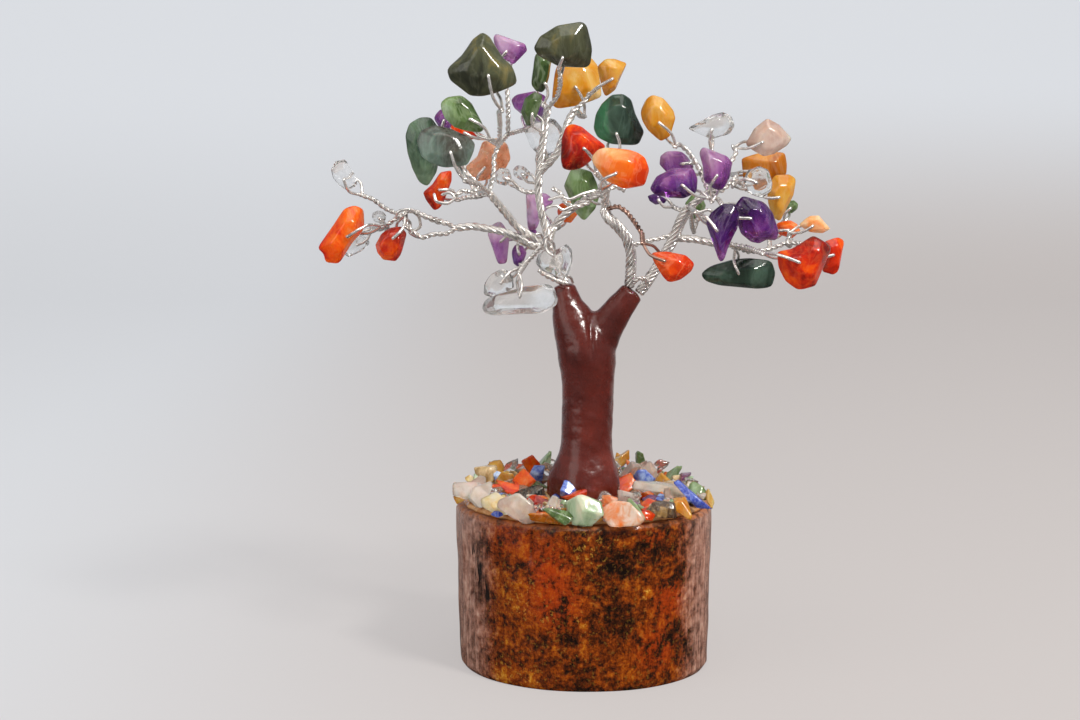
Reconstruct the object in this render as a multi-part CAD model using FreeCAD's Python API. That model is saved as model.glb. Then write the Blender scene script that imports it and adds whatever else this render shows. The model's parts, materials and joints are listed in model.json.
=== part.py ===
"""Gemstone tree ornament: drilled stone chips on twisted wire, a clay trunk and a log slice.

Sizes are in millimetres. +Z is up, +X is to the right and +Y is away from the viewer.
The origin is the centre of the log's underside.

The crown is set out on sight lines: each chip and each bend of wire has the picture point
where it is seen, and a share of the crown's half depth that it lies behind the trunk.
"""
import FreeCAD, Part
import math
import os
from collections import namedtuple

from FreeCAD import Vector

# Log slice
log_diameter = 36.0
log_foot_diameter = 35.0
log_height = 22.4
log_edge = 0.6
socket_depth = 9.0
socket_clearance = 0.15

# Bed of chips
glue_diameter = 34.6
glue_thickness = 0.8
bed_chip_length = 4.1
bed_chip_width = 3.1
bed_chip_thickness = 1.6
bed_ring_step = 3.35
bed_rim_margin = 0.1

# Clay trunk
column_diameter = 7.4
foot_clearance = 0.15
clay_clearance = 0.05

# Wire, twisted in pairs, branches and bundles
wire_diameter = 0.42
twig_diameter = 0.75
branch_diameter = 1.15
bundle_diameter = 1.6
core_diameter = 2.5
hole_clearance = 0.07
loop_clearance = 0.25
twist_length = 0.5
sliver_share = 0.01

# Sight lines
view_distance = 275.0
eye_height = 77.0
eye_offset = -6.2
crown_half_depth = 20.0
view_tilt = math.radians(7.26)
half_view_angle = math.radians(14.96672)
picture_centre_pixel = (540.0, 360.0)

# Counts of flat sides
hole_sides = 5
loop_sides = 4
twig_sides = 5
bundle_sides = 5
log_sides = 40
collar_sides = 24
clay_sides = 16
clay_steps = 2

# Radii of the log's outline and of the trunk's section, round the axis
log_outline_shares = [1.0, 0.985, 0.99, 1.0, 0.99, 0.975, 0.985, 1.0, 0.995, 0.98, 0.985, 0.995]
root_lobe_shares = [1.0, 0.84, 0.97, 0.82, 0.94, 0.84, 1.0, 0.85, 0.96, 0.83]

# Picture point of each trunk section, its diameter as a share of the column's, and how much
# of the root's lobes it shows
trunk_left_pixels_and_shares = [
    ((585, 499), 1.42, 1.0),
    ((585, 488), 1.22, 0.9),
    ((586, 468), 1.05, 0.5),
    ((587, 433), 0.99, 0.1),
    ((588, 385), 0.99, 0.0),
    ((586, 350), 1.12, 0.0),
    ((574, 322), 0.86, 0.0),
    ((567, 303), 0.60, 0.0),
    ((564, 283), 0.40, 0.0),
]
trunk_right_pixels_and_shares = [
    ((590, 372), 0.70, 0.0),
    ((600, 338), 0.76, 0.0),
    ((616, 313), 0.60, 0.0),
    ((634, 290), 0.46, 0.0),
]

# Outlines of the chips: along and across, as shares of half the length and half the width
chip_outline_shares = {
    "quartz_tip": [(-0.28, -1), (0.33, -0.98), (0.9, -0.7), (1, 0.31), (0.67, 0.82), (-0.12, 0.86),
                   (-0.71, 1), (-1, 0.13), (-0.75, -0.68)],
    "rod": [(-0.78, 0.54), (-1, 0.3), (-0.88, -0.43), (-0.15, -0.62), (0.53, -1), (1, -0.58),
            (0.99, 0.07), (0.77, 0.51), (-0.68, 1)],
    "dark_red": [(-0.79, -0.67), (-0.34, -1), (0.5, -0.96), (0.93, -0.3), (1, 0.61), (0.51, 1),
                 (-0.23, 0.87), (-0.75, 0.37), (-1, -0.26)],
    "moss_bean": [(-0.04, 0.86), (-0.49, 0.57), (-0.88, 0.17), (-1, -0.32), (-0.57, -0.79), (0.1, -1),
                  (0.71, -0.83), (1, -0.41), (0.99, 0.23), (0.79, 0.81), (0.45, 1)],
    "grey_slab": [(-0.79, -0.7), (-0.49, -1), (0.04, -0.98), (0.73, -0.79), (0.93, -0.3), (1, 0.18),
                  (0.77, 0.52), (0.08, 0.89), (-0.45, 1), (-0.87, 0.73), (-1, 0.19)],
    "violet_tip": [(-1, -0.04), (-0.78, -1), (-0.02, -0.94), (1, -0.13), (0.63, 0.77), (-0.41, 1)],
    "lilac_tip": [(-0.5, -0.7), (0.19, -1), (0.82, -0.89), (1, 0.66), (0.67, 1), (-1, 0.3),
                  (-0.99, -0.05)],
    "leaf": [(-0.81, -0.67), (-0.47, -0.98), (0.06, -1), (0.55, -0.66), (1, -0.13), (1, 0.45),
             (0.02, 1), (-0.66, 0.96), (-0.96, 0.32), (-1, -0.35)],
    "red_low": [(-0.69, 0.56), (-1, -0.5), (-0.74, -1), (-0.22, -1), (0.56, -0.97), (1, -0.62),
                (0.71, 0.22), (0.08, 0.51), (-0.42, 1)],
    "peach": [(-0.61, -0.92), (-0.12, -1), (0.5, -0.85), (0.91, -0.39), (1, 0.36), (0.81, 0.9),
              (0.08, 1), (-0.31, 0.37), (-1, 0)],
    "olive_kite": [(-0.91, -0.51), (-0.35, -0.98), (0.01, -1), (0.55, -0.98), (0.91, -0.79),
                   (1, -0.42), (0.89, -0.14), (0.55, 0.19), (0.18, 0.86), (-0.02, 1), (-0.28, 0.77),
                   (-0.58, 0.27), (-1, -0.16)],
    "slip_high": [(-0.75, 0.73), (-0.98, 0.16), (-1, -0.83), (-0.21, -1), (0.76, -0.83), (1, 0.26),
                  (0.77, 1)],
    "slip_low": [(-1, -0.63), (-0.77, -1), (0.1, -0.92), (1, -0.63), (1, 0.43), (0.41, 1), (-0.37, 0.73)],
    "violet_top": [(-0.96, 0.24), (-0.66, -0.17), (0.39, -1), (0.82, -0.32), (1, 0.42), (0.47, 0.87),
                   (-0.58, 1), (-1, 0.7)],
    "olive_slab": [(-0.88, -0.26), (-0.18, -0.82), (0.76, -1), (0.92, -0.86), (1, -0.26), (0.88, 0.82),
                   (0.73, 1), (-0.13, 0.93), (-0.75, 0.56), (-1, 0.09)],
    "yellow_big": [(-1, -0.71), (-0.7, -0.97), (0.08, -1), (0.94, -0.79), (1, 0.45), (0.81, 0.84),
                   (0.19, 1), (-0.47, 0.89)],
    "yellow_small": [(-1, -0.59), (-0.8, -1), (-0.15, -0.83), (1, 0.34), (0.41, 0.8), (-0.16, 1),
                     (-0.68, 0.87)],
    "quartz_mid": [(-0.46, -0.51), (-0.13, -0.76), (0.64, -1), (1, -0.44), (0.88, 0.6), (0.4, 1),
                   (-0.59, 0.91), (-1, 0.44)],
    "red": [(-1, -0.79), (-0.73, -0.96), (-0.36, -1), (-0.04, -0.93), (1, -0.35), (0.23, 0.77),
            (-0.11, 1), (-0.45, 0.96), (-0.69, 0.53), (-0.97, -0.38)],
    "orange": [(-0.27, -0.86), (0.69, -1), (1, -0.62), (0.96, 0.41), (0.69, 0.88), (0.41, 1),
               (0.1, 0.98), (-0.85, 0.6), (-1, -0.1)],
    "green_tip": [(0.63, -0.46), (1, -0.05), (0.61, 0.69), (0.21, 1), (-0.29, 0.97), (-0.77, 0.75),
                  (-1, 0.14), (-0.95, -0.64), (-0.57, -1)],
    "green_egg": [(0.14, -1), (0.53, -0.67), (1, 0.08), (0.97, 0.44), (0.7, 0.86), (0.01, 0.87),
                  (-0.53, 1), (-0.84, 0.81), (-1, 0.37), (-0.88, -0.19), (-0.65, -0.6), (-0.27, -0.94)],
    "yellow_tip": [(-0.03, -0.95), (0.48, -0.74), (1, 0), (0.84, 0.56), (0.12, 1), (-0.22, 0.98),
                   (-0.81, 0.46), (-1, -0.13), (-0.84, -0.73), (-0.49, -1)],
    "quartz_pear": [(0.65, 0.62), (0.09, 1), (-0.8, 0.49), (-1, -0.07), (-0.82, -0.74), (-0.46, -1),
                    (-0.01, -0.75), (1, 0.22)],
    "quartz_ring": [(-1, -0.08), (-0.65, -0.79), (0.04, -1), (0.53, -0.69), (1, 0.03), (0.8, 0.63),
                    (0.1, 1), (-0.57, 0.82)],
    "rose": [(-0.39, -1), (0.15, -0.95), (0.58, -0.52), (0.98, 0.2), (1, 0.67), (0.03, 1),
             (-0.63, 0.99), (-0.97, 0.16), (-1, -0.82)],
    "yellow_back": [(-0.86, -0.8), (-0.44, -1), (0.27, -0.89), (0.51, -0.52), (0.98, -0.17), (1, 0.31),
                    (0.89, 0.94), (-0.56, 1), (-1, 0.83)],
    "yellow_low": [(-0.37, 0.65), (-0.89, 0.16), (-1, -0.39), (0.19, -1), (0.88, -0.98), (1, -0.43),
                   (0.87, 0.55), (0.29, 1)],
    "violet_kite": [(-0.17, -0.85), (0.47, -0.89), (0.91, -0.29), (1, 0.12), (0.46, 0.72), (-0.15, 1),
                    (-0.43, 0.74), (-1, -0.75), (-0.8, -1)],
    "violet_banded": [(-0.79, -0.55), (-0.29, -0.86), (0.32, -1), (0.88, -0.65), (1, 0.23),
                      (0.8, 0.95), (-0.05, 1), (-0.66, 0.59), (-1, -0.07)],
    "violet_back": [(-0.61, -0.77), (0.2, -1), (1, -0.59), (0.78, 0.21), (0.36, 0.83), (-0.57, 1),
                    (-0.9, 0.64), (-1, 0)],
    "violet_speck": [(-0.74, -0.35), (-0.15, -1), (0.81, -0.74), (1, -0.03), (-0.15, 1), (-1, 0.68)],
    "violet_tear": [(1, -0.07), (0.97, 0.18), (0.4, 0.45), (-0.18, 0.9), (-0.64, 1), (-1, 0.74),
                    (-1, -0.04), (-0.68, -0.74), (-0.33, -1)],
    "violet_low": [(-0.6, -0.66), (-0.18, -1), (0.31, -0.99), (0.58, -0.8), (0.72, -0.38), (1, -0.2),
                   (0.9, 0.22), (0.26, 0.81), (-0.3, 1), (-1, 0.52), (-0.99, -0.04)],
    "orange_far": [(-0.97, -0.45), (-0.01, -1), (1, -0.45), (0.77, 0.35), (0.05, 1), (-1, 0.71)],
    "peach_tip": [(-0.26, -1), (0.82, -0.83), (1, -0.37), (0.13, 1), (-0.5, 0.79), (-1, -0.29)],
    "red_big": [(-0.22, -1), (0.44, -0.93), (0.96, -0.65), (1, 0.02), (-0.21, 0.97), (-0.77, 1),
                (-1, 0.6), (-0.77, -0.37), (-0.87, -0.88)],
    "red_back": [(0.08, 0.85), (-0.89, 0.84), (-1, -0.26), (-0.78, -0.81), (0.75, -1), (1, -0.05),
                 (0.66, 1)],
    "green_loaf": [(-0.85, -0.63), (-0.44, -0.88), (0.66, -1), (0.94, -0.68), (1, 0.15), (0.86, 0.92),
                   (0.3, 1), (-0.2, 0.84), (-0.75, 0.32), (-1, -0.22)],
    "orange_wedge": [(-0.88, 0.35), (-0.28, -1), (0.39, -0.84), (0.82, -0.26), (1, 0.21), (0.56, 0.76),
                     (-0.28, 1), (-1, 0.91)],
    "violet_inner": [(-0.9, -0.15), (-1, -0.88), (-0.59, -1), (-0.04, -0.47), (1, -0.02), (0.78, 0.48),
                     (0.05, 1), (-0.39, 0.89)],
    "violet_drop": [(-1, -0.27), (-0.9, -1), (0.43, -0.94), (1, 0.07), (0.72, 0.84), (0.29, 1)],
    "violet_leaf": [(-0.6, 1), (-1, 0.61), (-0.73, -0.24), (-0.03, -1), (0.72, -0.81), (1, 0.06),
                    (0.55, 0.77)],
    "clear_chunk": [(-0.44, -0.86), (0.1, -0.87), (0.47, -1), (0.96, -0.88), (1, -0.43), (0.99, 0.16),
                    (0.68, 0.81), (0.3, 1), (-0.07, 0.54), (-0.59, 0.44), (-0.98, -0.04), (-1, -0.56)],
    "clear_round": [(-1, 0.14), (-0.72, -0.51), (-0.13, -0.93), (0.59, -1), (0.96, -0.29), (1, 0.32),
                    (0.87, 0.92), (0.07, 1), (-0.56, 0.77)],
    "clear_prism": [(-0.92, -0.93), (-0.66, -1), (0.67, -0.69), (0.92, -0.4), (1, 0.03), (0.91, 0.78),
                    (0.76, 1), (0.08, 0.71), (-0.89, -0.09), (-1, -0.6)],
    "egg": [(1, 0), (0.72, 0.72), (0, 1), (-0.72, 0.75), (-1, 0.05), (-0.7, -0.72), (0, -1),
            (0.75, -0.7)],
    "slab": [(0.95, 0.6), (0.1, 1), (-0.75, 0.9), (-1, 0.1), (-0.85, -0.7), (0.15, -0.95), (1, -0.75)],
    "nugget": [(0.9, 0.5), (0.25, 1), (-0.6, 0.8), (-1, 0), (-0.65, -0.85), (0.3, -1), (1, -0.4)],
    "stick": [(0.92, 0.75), (0, 1), (-0.9, 0.85), (-1, -0.1), (-0.8, -0.9), (0.1, -1), (1, -0.5)],
}
chip_ring_shares = [(0.5, -1.0), (0.92, -0.45), (1.0, 0.1), (0.5, 1.0)]
small_ring_shares = [(0.6, -1.0), (1.0, -0.1), (0.55, 1.0)]
small_chip_pixels = 38
bed_outline_shares = [
    [(1, 0.2), (0.1, 1), (-1, 0.6), (-0.8, -0.7), (0.5, -1)],
    [(0.9, 0.9), (-0.7, 1), (-1, -0.3), (0.1, -1), (1, -0.5)],
    [(1, 0), (0.4, 0.9), (-0.6, 1), (-1, -0.4), (0, -1)],
    [(0.8, 1), (-0.9, 0.7), (-1, -0.6), (-0.1, -1), (1, -0.8)],
]
loop_reach_share = 1.08
loop_knee_share = 0.5

# One chip of the crown: its node, the picture point of its centre, its depth, its length and
# width in the picture, the angle of its length, its turn about its length, its thickness as a
# share of its width, its outline, the side its wire leaves by, and how far the hole lies that way
Chip = namedtuple("Chip", "node centre back size angle turn thick outline stem hole")

crown_chip_pixels_and_shares = {
    "quartz_tip": Chip("quartz_left", (344, 175), 0.10, (34, 23), -52, 10, 0.70, "quartz_tip", -48, 0.2),
    "quartz_bead": Chip("quartz_left", (379, 217), 0.22, (16, 14), 10, 0, 0.85, "egg", -60, 0.1),
    "quartz_flake": Chip("quartz_left", (354, 245), 0.30, (30, 22), 35, 15, 0.45, "slab", 42, 0.2),
    "rod": Chip("carnelian_rod", (343, 235), -0.15, (67, 38), 66, 10, 0.80, "rod", 12, 0.1),
    "dark_red": Chip("carnelian_dark", (391, 243), -0.12, (32, 38), -10, 0, 0.72, "dark_red", 62, 0.3),
    "moss_bean": Chip("moss_agate_bean", (423, 152), -0.42, (73, 38), 88, 15, 0.60, "moss_bean", -22, 0.3),
    "grey_slab": Chip("grey_agate_slab", (447, 147), -0.78, (64, 44), -4, -12, 0.48, "grey_slab", -62, 0.3),
    "violet_tip": Chip("amethyst_upper_left", (444, 119), 0.15, (21, 22), 60, 0, 0.70,
                       "violet_tip", -80, 0.1),
    "lilac_tip": Chip("amethyst_upper_left", (508, 47), 0.20, (38, 26), -35, 10, 0.60,
                      "lilac_tip", -100, 0.2),
    "leaf": Chip("aventurine_leaf", (463, 115), -0.08, (52, 31), -40, -10, 0.50, "leaf", -42, 0.3),
    "red_bit": Chip("carnelian_upper_left", (463, 132), 0.36, (32, 18), -8, 0, 0.75, "stick", -15, 0.1),
    "red_low": Chip("carnelian_upper_left", (437, 188), 0.08, (46, 24), 68, 10, 0.70, "red_low", -30, 0.1),
    "peach": Chip("peach_aventurine", (487, 160), 0.42, (52, 39), 20, 0, 0.60, "peach", -105, 0.3),
    "olive_kite": Chip("olive_jasper_kite", (483, 64), -0.62, (76, 67), 0, -8, 0.52,
                       "olive_kite", -68, 0.4),
    "slip_high": Chip("aventurine_slips", (541, 71), 0.16, (44, 20), 78, 20, 0.80, "slip_high", -85, 0.5),
    "slip_low": Chip("aventurine_slips", (530, 109), -0.12, (37, 20), 62, 0, 0.70, "slip_low", -62, 0.3),
    "violet_top": Chip("amethyst_centre", (531, 108), 0.42, (36, 38), 15, 10, 0.65,
                       "violet_top", -105, 0.2),
    "olive_slab": Chip("olive_jasper_slab", (563, 47), -0.30, (61, 49), 6, 10, 0.50,
                       "olive_slab", -95, 0.4),
    "yellow_big": Chip("yellow_quartz_top", (573, 82), 0.46, (57, 52), 10, -10, 0.50,
                       "yellow_big", -72, 0.3),
    "yellow_small": Chip("yellow_quartz_top", (613, 75), 0.02, (36, 38), 20, 10, 0.60,
                         "yellow_small", -140, 0.1),
    "quartz_mid": Chip("quartz_centre", (542, 138), 0.57, (46, 43), -10, 0, 0.60, "quartz_mid", -90, 0.2),
    "quartz_cube": Chip("quartz_centre", (521, 173), 0.14, (18, 15), -20, 0, 0.80, "slab", -32, 0.1),
    "quartz_ghost": Chip("quartz_centre", (503, 177), 0.10, (20, 20), 60, 0, 0.60, "egg", -35, 0.1),
    "red": Chip("carnelian_centre", (581, 145), -0.62, (50, 48), 15, -10, 0.60, "red", -62, 0.3),
    "orange": Chip("orange_agate_centre", (619, 167), -0.95, (64, 42), -20, 10, 0.62, "orange", -128, 0.2),
    "green_tip": Chip("aventurine_centre", (581, 194), 0.34, (57, 37), -82, 0, 0.55, "green_tip", -18, 0.1),
    "green_egg": Chip("green_agate_egg", (617, 124), 0.14, (59, 50), -62, 0, 0.65, "green_egg", -98, 0.4),
    "yellow_tip": Chip("yellow_quartz_right_tip", (658, 118), -0.05, (49, 36), -82, 10, 0.55,
                       "yellow_tip", -58, 0.2),
    "quartz_pear": Chip("quartz_right", (711, 126), 0.10, (50, 30), 178, 0, 0.70, "quartz_pear", -88, 0.2),
    "quartz_ring": Chip("quartz_right", (759, 182), 0.04, (32, 34), 50, 0, 0.60, "quartz_ring", 188, 0.2),
    "rose": Chip("rose_quartz_tip", (769, 140), 0.22, (40, 38), -28, 0, 0.60, "rose", 192, 0.3),
    "yellow_back": Chip("yellow_quartz_right", (764, 171), 0.66, (48, 41), 0, 0, 0.50,
                        "yellow_back", 186, 0.3),
    "yellow_low": Chip("yellow_quartz_right", (779, 197), 0.36, (50, 30), 80, 10, 0.60,
                       "yellow_low", 168, 0.2),
    "violet_kite": Chip("amethyst_kite", (717, 168), -0.12, (49, 34), -82, 0, 0.65,
                        "violet_kite", -98, 0.3),
    "violet_banded": Chip("amethyst_banded", (674, 184), -0.48, (54, 32), 5, -10, 0.70,
                          "violet_banded", -22, 0.3),
    "violet_back": Chip("amethyst_right_back", (677, 162), 0.34, (37, 26), 8, 0, 0.70,
                        "violet_back", -22, 0.2),
    "violet_speck": Chip("amethyst_right_back", (657, 199), 0.16, (21, 12), 0, 0, 0.85,
                         "violet_speck", -25, 0.1),
    "violet_tear": Chip("amethyst_tear", (722, 233), -0.52, (61, 35), -92, 10, 0.60,
                        "violet_tear", 142, 0.2),
    "violet_low": Chip("amethyst_right_low", (757, 221), -0.14, (57, 42), -38, 0, 0.65,
                       "violet_low", 155, 0.3),
    "orange_far": Chip("orange_agate_right", (789, 229), 0.42, (24, 22), 10, 0, 0.80,
                       "orange_far", 205, 0.1),
    "peach_tip": Chip("orange_agate_right", (815, 224), 0.18, (36, 19), -8, 0, 0.80, "peach_tip", 200, 0.2),
    "red_big": Chip("carnelian_right", (807, 263), -0.42, (51, 59), -70, 0, 0.60, "red_big", 168, 0.3),
    "red_back": Chip("carnelian_right_tip", (833, 255), -0.04, (41, 22), 84, 10, 0.70,
                     "red_back", 158, 0.2),
    "green_loaf": Chip("green_agate_loaf", (738, 273), 0.10, (78, 34), -4, 10, 0.70, "green_loaf", 98, 0.2),
    "orange_wedge": Chip("orange_agate_hanging", (673, 267), -0.52, (46, 33), 0, 0, 0.60,
                         "orange_wedge", 142, 0.4),
    "teal": Chip("aventurine_right_back", (695, 208), 0.66, (29, 22), 82, 0, 0.70, "nugget", -92, 0.2),
    "green_far": Chip("aventurine_right_back", (790, 207), 0.70, (18, 14), 20, 0, 0.80, "egg", -110, 0.1),
    "violet_inner": Chip("amethyst_centre", (538, 208), 0.46, (38, 40), 25, 0, 0.70,
                         "violet_inner", -58, 0.2),
    "violet_bit": Chip("amethyst_centre", (531, 235), 0.52, (16, 13), 30, 0, 0.80, "egg", -25, 0.1),
    "violet_drop": Chip("amethyst_left_drops", (498, 242), 0.32, (46, 24), 82, 0, 0.75,
                        "violet_drop", 22, 0.2),
    "violet_leaf": Chip("amethyst_left_drops", (519, 255), 0.10, (23, 17), 108, 0, 0.70,
                        "violet_leaf", 68, 0.1),
    "clear_chunk": Chip("quartz_lower_left", (555, 259), -0.52, (38, 38), -20, 0, 0.70,
                        "clear_chunk", 112, 0.3),
    "clear_round": Chip("quartz_lower_left", (498, 285), -0.32, (36, 27), 40, 0, 0.70,
                        "clear_round", 38, 0.2),
    "clear_prism": Chip("quartz_lower_left", (520, 299), -0.66, (79, 38), -4, 0, 0.75,
                        "clear_prism", 92, 0.2),
    "amber_far": Chip("orange_agate_back", (567, 212), 0.72, (24, 22), 60, 0, 0.75, "nugget", -125, 0.1),
}

# One stretch of wire: its thickness, its bends as picture point and depth, and the chip that
# it ends in a loop through, if any
Run = namedtuple("Run", "size bends chip")

left_mouth = (564, 283, 0.0)
left_hub = (549, 246, 0.0)
right_mouth_inner = (629, 287, 0.0)
right_mouth_outer = (639, 293, 0.0)
inner_hub = (605, 209, 0.0)
outer_hub = (690, 207, 0.0)
high_hub = (709, 193, 0.0)
far_hub = (735, 178, 0.12)
low_hub = (730, 244, -0.04)

wire_pixels_and_shares = {
    "stem_left": [
        Run("bundle", [left_mouth, (556, 265, 0.0), left_hub], None),
    ],
    "stem_right_inner": [
        Run("bundle", [right_mouth_inner, (631, 268, -0.02), (631, 252, -0.04), (627, 238, -0.05),
                       (617, 225, -0.05), (607, 217, -0.03), inner_hub], None),
        Run("branch", [inner_hub, (605, 198, -0.08), (607, 187, -0.14)], None),
        Run("twig", [(607, 187, -0.14), (603, 181, -0.36)], "red"),
        Run("twig", [(607, 187, -0.14), (603, 190, -0.45)], "orange"),
        Run("twig", [(607, 187, -0.14), (612, 168, 0.0)], "green_egg"),
        Run("twig", [inner_hub, (608, 207, 0.18)], "green_tip"),
        Run("twig", [(631, 246, -0.045), (647, 241, 0.02), (662, 238, 0.04), (676, 233, 0.03)], None),
    ],
    "twig_hanging": [
        Run("twig", [inner_hub, (618, 206, -0.10), (626, 211, -0.16), (634, 221, -0.22),
                     (642, 233, -0.32)], "orange_wedge"),
    ],
    "stem_right_outer": [
        Run("bundle", [right_mouth_outer, (648, 281, 0.01), (657, 267, 0.02), (666, 252, 0.03),
                       (674, 238, 0.03), (680, 222, 0.02), outer_hub], None),
        Run("branch", [outer_hub, (699, 199, 0.0), high_hub], None),
    ],
    "branch_left_high": [
        Run("branch", [left_hub, (534, 238, 0.08), (516, 226, 0.08), (504, 211, 0.02),
                       (489, 193, -0.08)], None),
        Run("twig", [(489, 193, -0.08), (478, 184, -0.34)], "grey_slab"),
        Run("twig", [(478, 184, -0.34), (469, 176, -0.38)], "moss_bean"),
        Run("twig", [(489, 193, -0.08), (484, 192, 0.16)], "peach"),
        Run("twig", [(489, 193, -0.08), (477, 197, 0.0), (466, 197, 0.04)], "red_low"),
        Run("twig", [(477, 197, 0.0), (468, 175, 0.12), (456, 152, 0.14)], "violet_tip"),
        Run("twig", [(489, 193, -0.08), (494, 172, -0.05), (494, 156, 0.0), (499, 145, 0.0)], None),
        Run("twig", [(499, 145, 0.0), (500, 124, -0.2), (499, 112, -0.42)], "olive_kite"),
        Run("twig", [(499, 145, 0.0), (508, 134, 0.2)], "violet_top"),
        Run("twig", [(508, 134, 0.2), (508, 106, 0.16), (507, 86, 0.18)], "lilac_tip"),
        Run("twig", [(499, 145, 0.0), (497, 142, -0.04)], "leaf"),
        Run("twig", [(499, 145, 0.0), (492, 141, 0.2)], "red_bit"),
        Run("twig", [(516, 226, 0.08), (519, 231, 0.2)], "violet_drop"),
    ],
    "branch_left_low": [
        Run("branch", [left_hub, (533, 247, -0.08), (519, 239, -0.1), (505, 232, -0.08),
                       (490, 229, -0.05), (473, 226, 0.0), (457, 228, 0.0)], None),
        Run("twig", [(457, 228, 0.0), (444, 222, 0.05), (428, 217, 0.06), (412, 210, 0.04),
                     (401, 215, 0.0)], None),
        Run("twig", [(457, 228, 0.0), (447, 234, -0.06), (434, 234, -0.08), (422, 238, -0.08),
                     (412, 231, -0.05), (401, 215, 0.0)], None),
        Run("twig", [(401, 215, 0.0), (386, 209, 0.04), (373, 199, 0.07)], "quartz_tip"),
        Run("twig", [(401, 215, 0.0), (387, 225, -0.02), (378, 227, -0.08)], "rod"),
        Run("twig", [(401, 215, 0.0), (406, 221, -0.06)], "dark_red"),
        Run("twig", [(387, 225, -0.02), (387, 227, 0.1)], "quartz_bead"),
        Run("twig", [(387, 225, -0.02), (381, 229, 0.14)], "quartz_flake"),
        Run("twig", [(519, 239, -0.1), (524, 238, 0.0)], "violet_leaf"),
    ],
    "twigs_quartz": [
        Run("twig", [left_hub, (545, 241, -0.25)], "clear_chunk"),
        Run("twig", [(545, 241, -0.25), (535, 254, -0.3), (526, 263, -0.4)], "clear_prism"),
        Run("twig", [(526, 263, -0.4), (521, 264, -0.37)], "clear_round"),
    ],
    "branch_centre": [
        Run("branch", [left_hub, (546, 230, 0.0), (541, 211, 0.0), (538, 192, 0.0), (539, 172, 0.0),
                       (541, 155, 0.0), (544, 135, 0.0), (545, 122, 0.0), (548, 108, 0.0)], None),
        Run("twig", [(548, 108, 0.0), (557, 97, -0.06), (560, 86, -0.16)], "olive_slab"),
        Run("twig", [(548, 108, 0.0), (543, 104, 0.1)], "slip_high"),
        Run("twig", [(544, 135, 0.0), (541, 133, -0.06)], "slip_low"),
        Run("twig", [(541, 155, 0.0), (545, 158, 0.25)], "quartz_mid"),
        Run("twig", [(538, 192, 0.0), (538, 187, 0.06)], "quartz_cube"),
        Run("twig", [(538, 192, 0.0), (525, 192, 0.04)], "quartz_ghost"),
        Run("twig", [(546, 230, 0.0), (549, 228, 0.22)], "violet_inner"),
        Run("twig", [(546, 238, 0.0), (546, 241, 0.26)], "violet_bit"),
        Run("branch", [(539, 172, 0.0), (549, 163, -0.02), (558, 152, -0.06), (564, 134, -0.06),
                       (569, 120, 0.0), (575, 110, 0.04)], None),
        Run("twig", [(575, 110, 0.04), (580, 116, 0.24)], "yellow_big"),
        Run("twig", [(575, 110, 0.04), (585, 101, 0.04)], "yellow_small"),
        Run("branch", [left_hub, (553, 228, 0.1), (563, 216, 0.12), (575, 207, 0.12),
                       (590, 197, 0.05), (605, 191, -0.11)], None),
        Run("twig", [(556, 224, 0.1), (559, 227, 0.4)], "amber_far"),
    ],
    "branch_right_high": [
        Run("twig", [high_hub, (703, 178, 0.04), (697, 165, 0.05), (688, 151, 0.02),
                     (679, 144, 0.0)], "yellow_tip"),
        Run("twig", [high_hub, (716, 178, 0.14), (713, 160, 0.12)], "quartz_pear"),
        Run("twig", [high_hub, (721, 180, 0.16), (730, 164, 0.16), (737, 151, 0.2)], "rose"),
        Run("twig", [high_hub, (711, 199, -0.05)], "violet_kite"),
        Run("twig", [(703, 178, 0.04), (705, 171, 0.18)], "violet_back"),
        Run("twig", [high_hub, (706, 196, -0.24)], "violet_banded"),
    ],
    "branch_right_mid": [
        Run("twig", [high_hub, (722, 191, 0.08), far_hub], None),
        Run("twig", [far_hub, (737, 175, 0.34)], "yellow_back"),
        Run("twig", [far_hub, (747, 190, 0.24)], "yellow_low"),
        Run("twig", [far_hub], "quartz_ring"),
        Run("twig", [high_hub, (718, 199, 0.0)], "violet_low"),
        Run("twig", [outer_hub, (680, 210, 0.08)], "violet_speck"),
        Run("twig", [outer_hub, (692, 226, 0.34)], "teal"),
        Run("twig", [outer_hub, (694, 211, -0.26)], "violet_tear"),
    ],
    "branch_right_low": [
        Run("branch", [(674, 238, 0.03), (694, 239, 0.0), (713, 243, -0.02), low_hub], None),
        Run("twig", [low_hub, (747, 247, -0.12)], "red_big"),
        Run("twig", [low_hub], "green_loaf"),
        Run("twig", [low_hub, (748, 252, 0.06), (768, 250, 0.12), (786, 243, 0.14)], None),
        Run("twig", [(786, 243, 0.14), (798, 243, 0.08)], "red_back"),
        Run("twig", [(768, 250, 0.12), (770, 246, 0.28)], "orange_far"),
        Run("twig", [(786, 243, 0.14), (789, 239, 0.16)], "peach_tip"),
        Run("twig", [(786, 243, 0.14), (790, 246, 0.45), (791, 238, 0.66)], "green_far"),
    ],
}
core_pixels_and_shares = {
    "left": [(586, 433, 0.0), (585, 350, 0.0), (570, 307, 0.0), left_mouth],
    "right": [(586, 433, 0.0), (592, 360, 0.0), (614, 314, 0.0), (634, 290, 0.0)],
}

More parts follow.
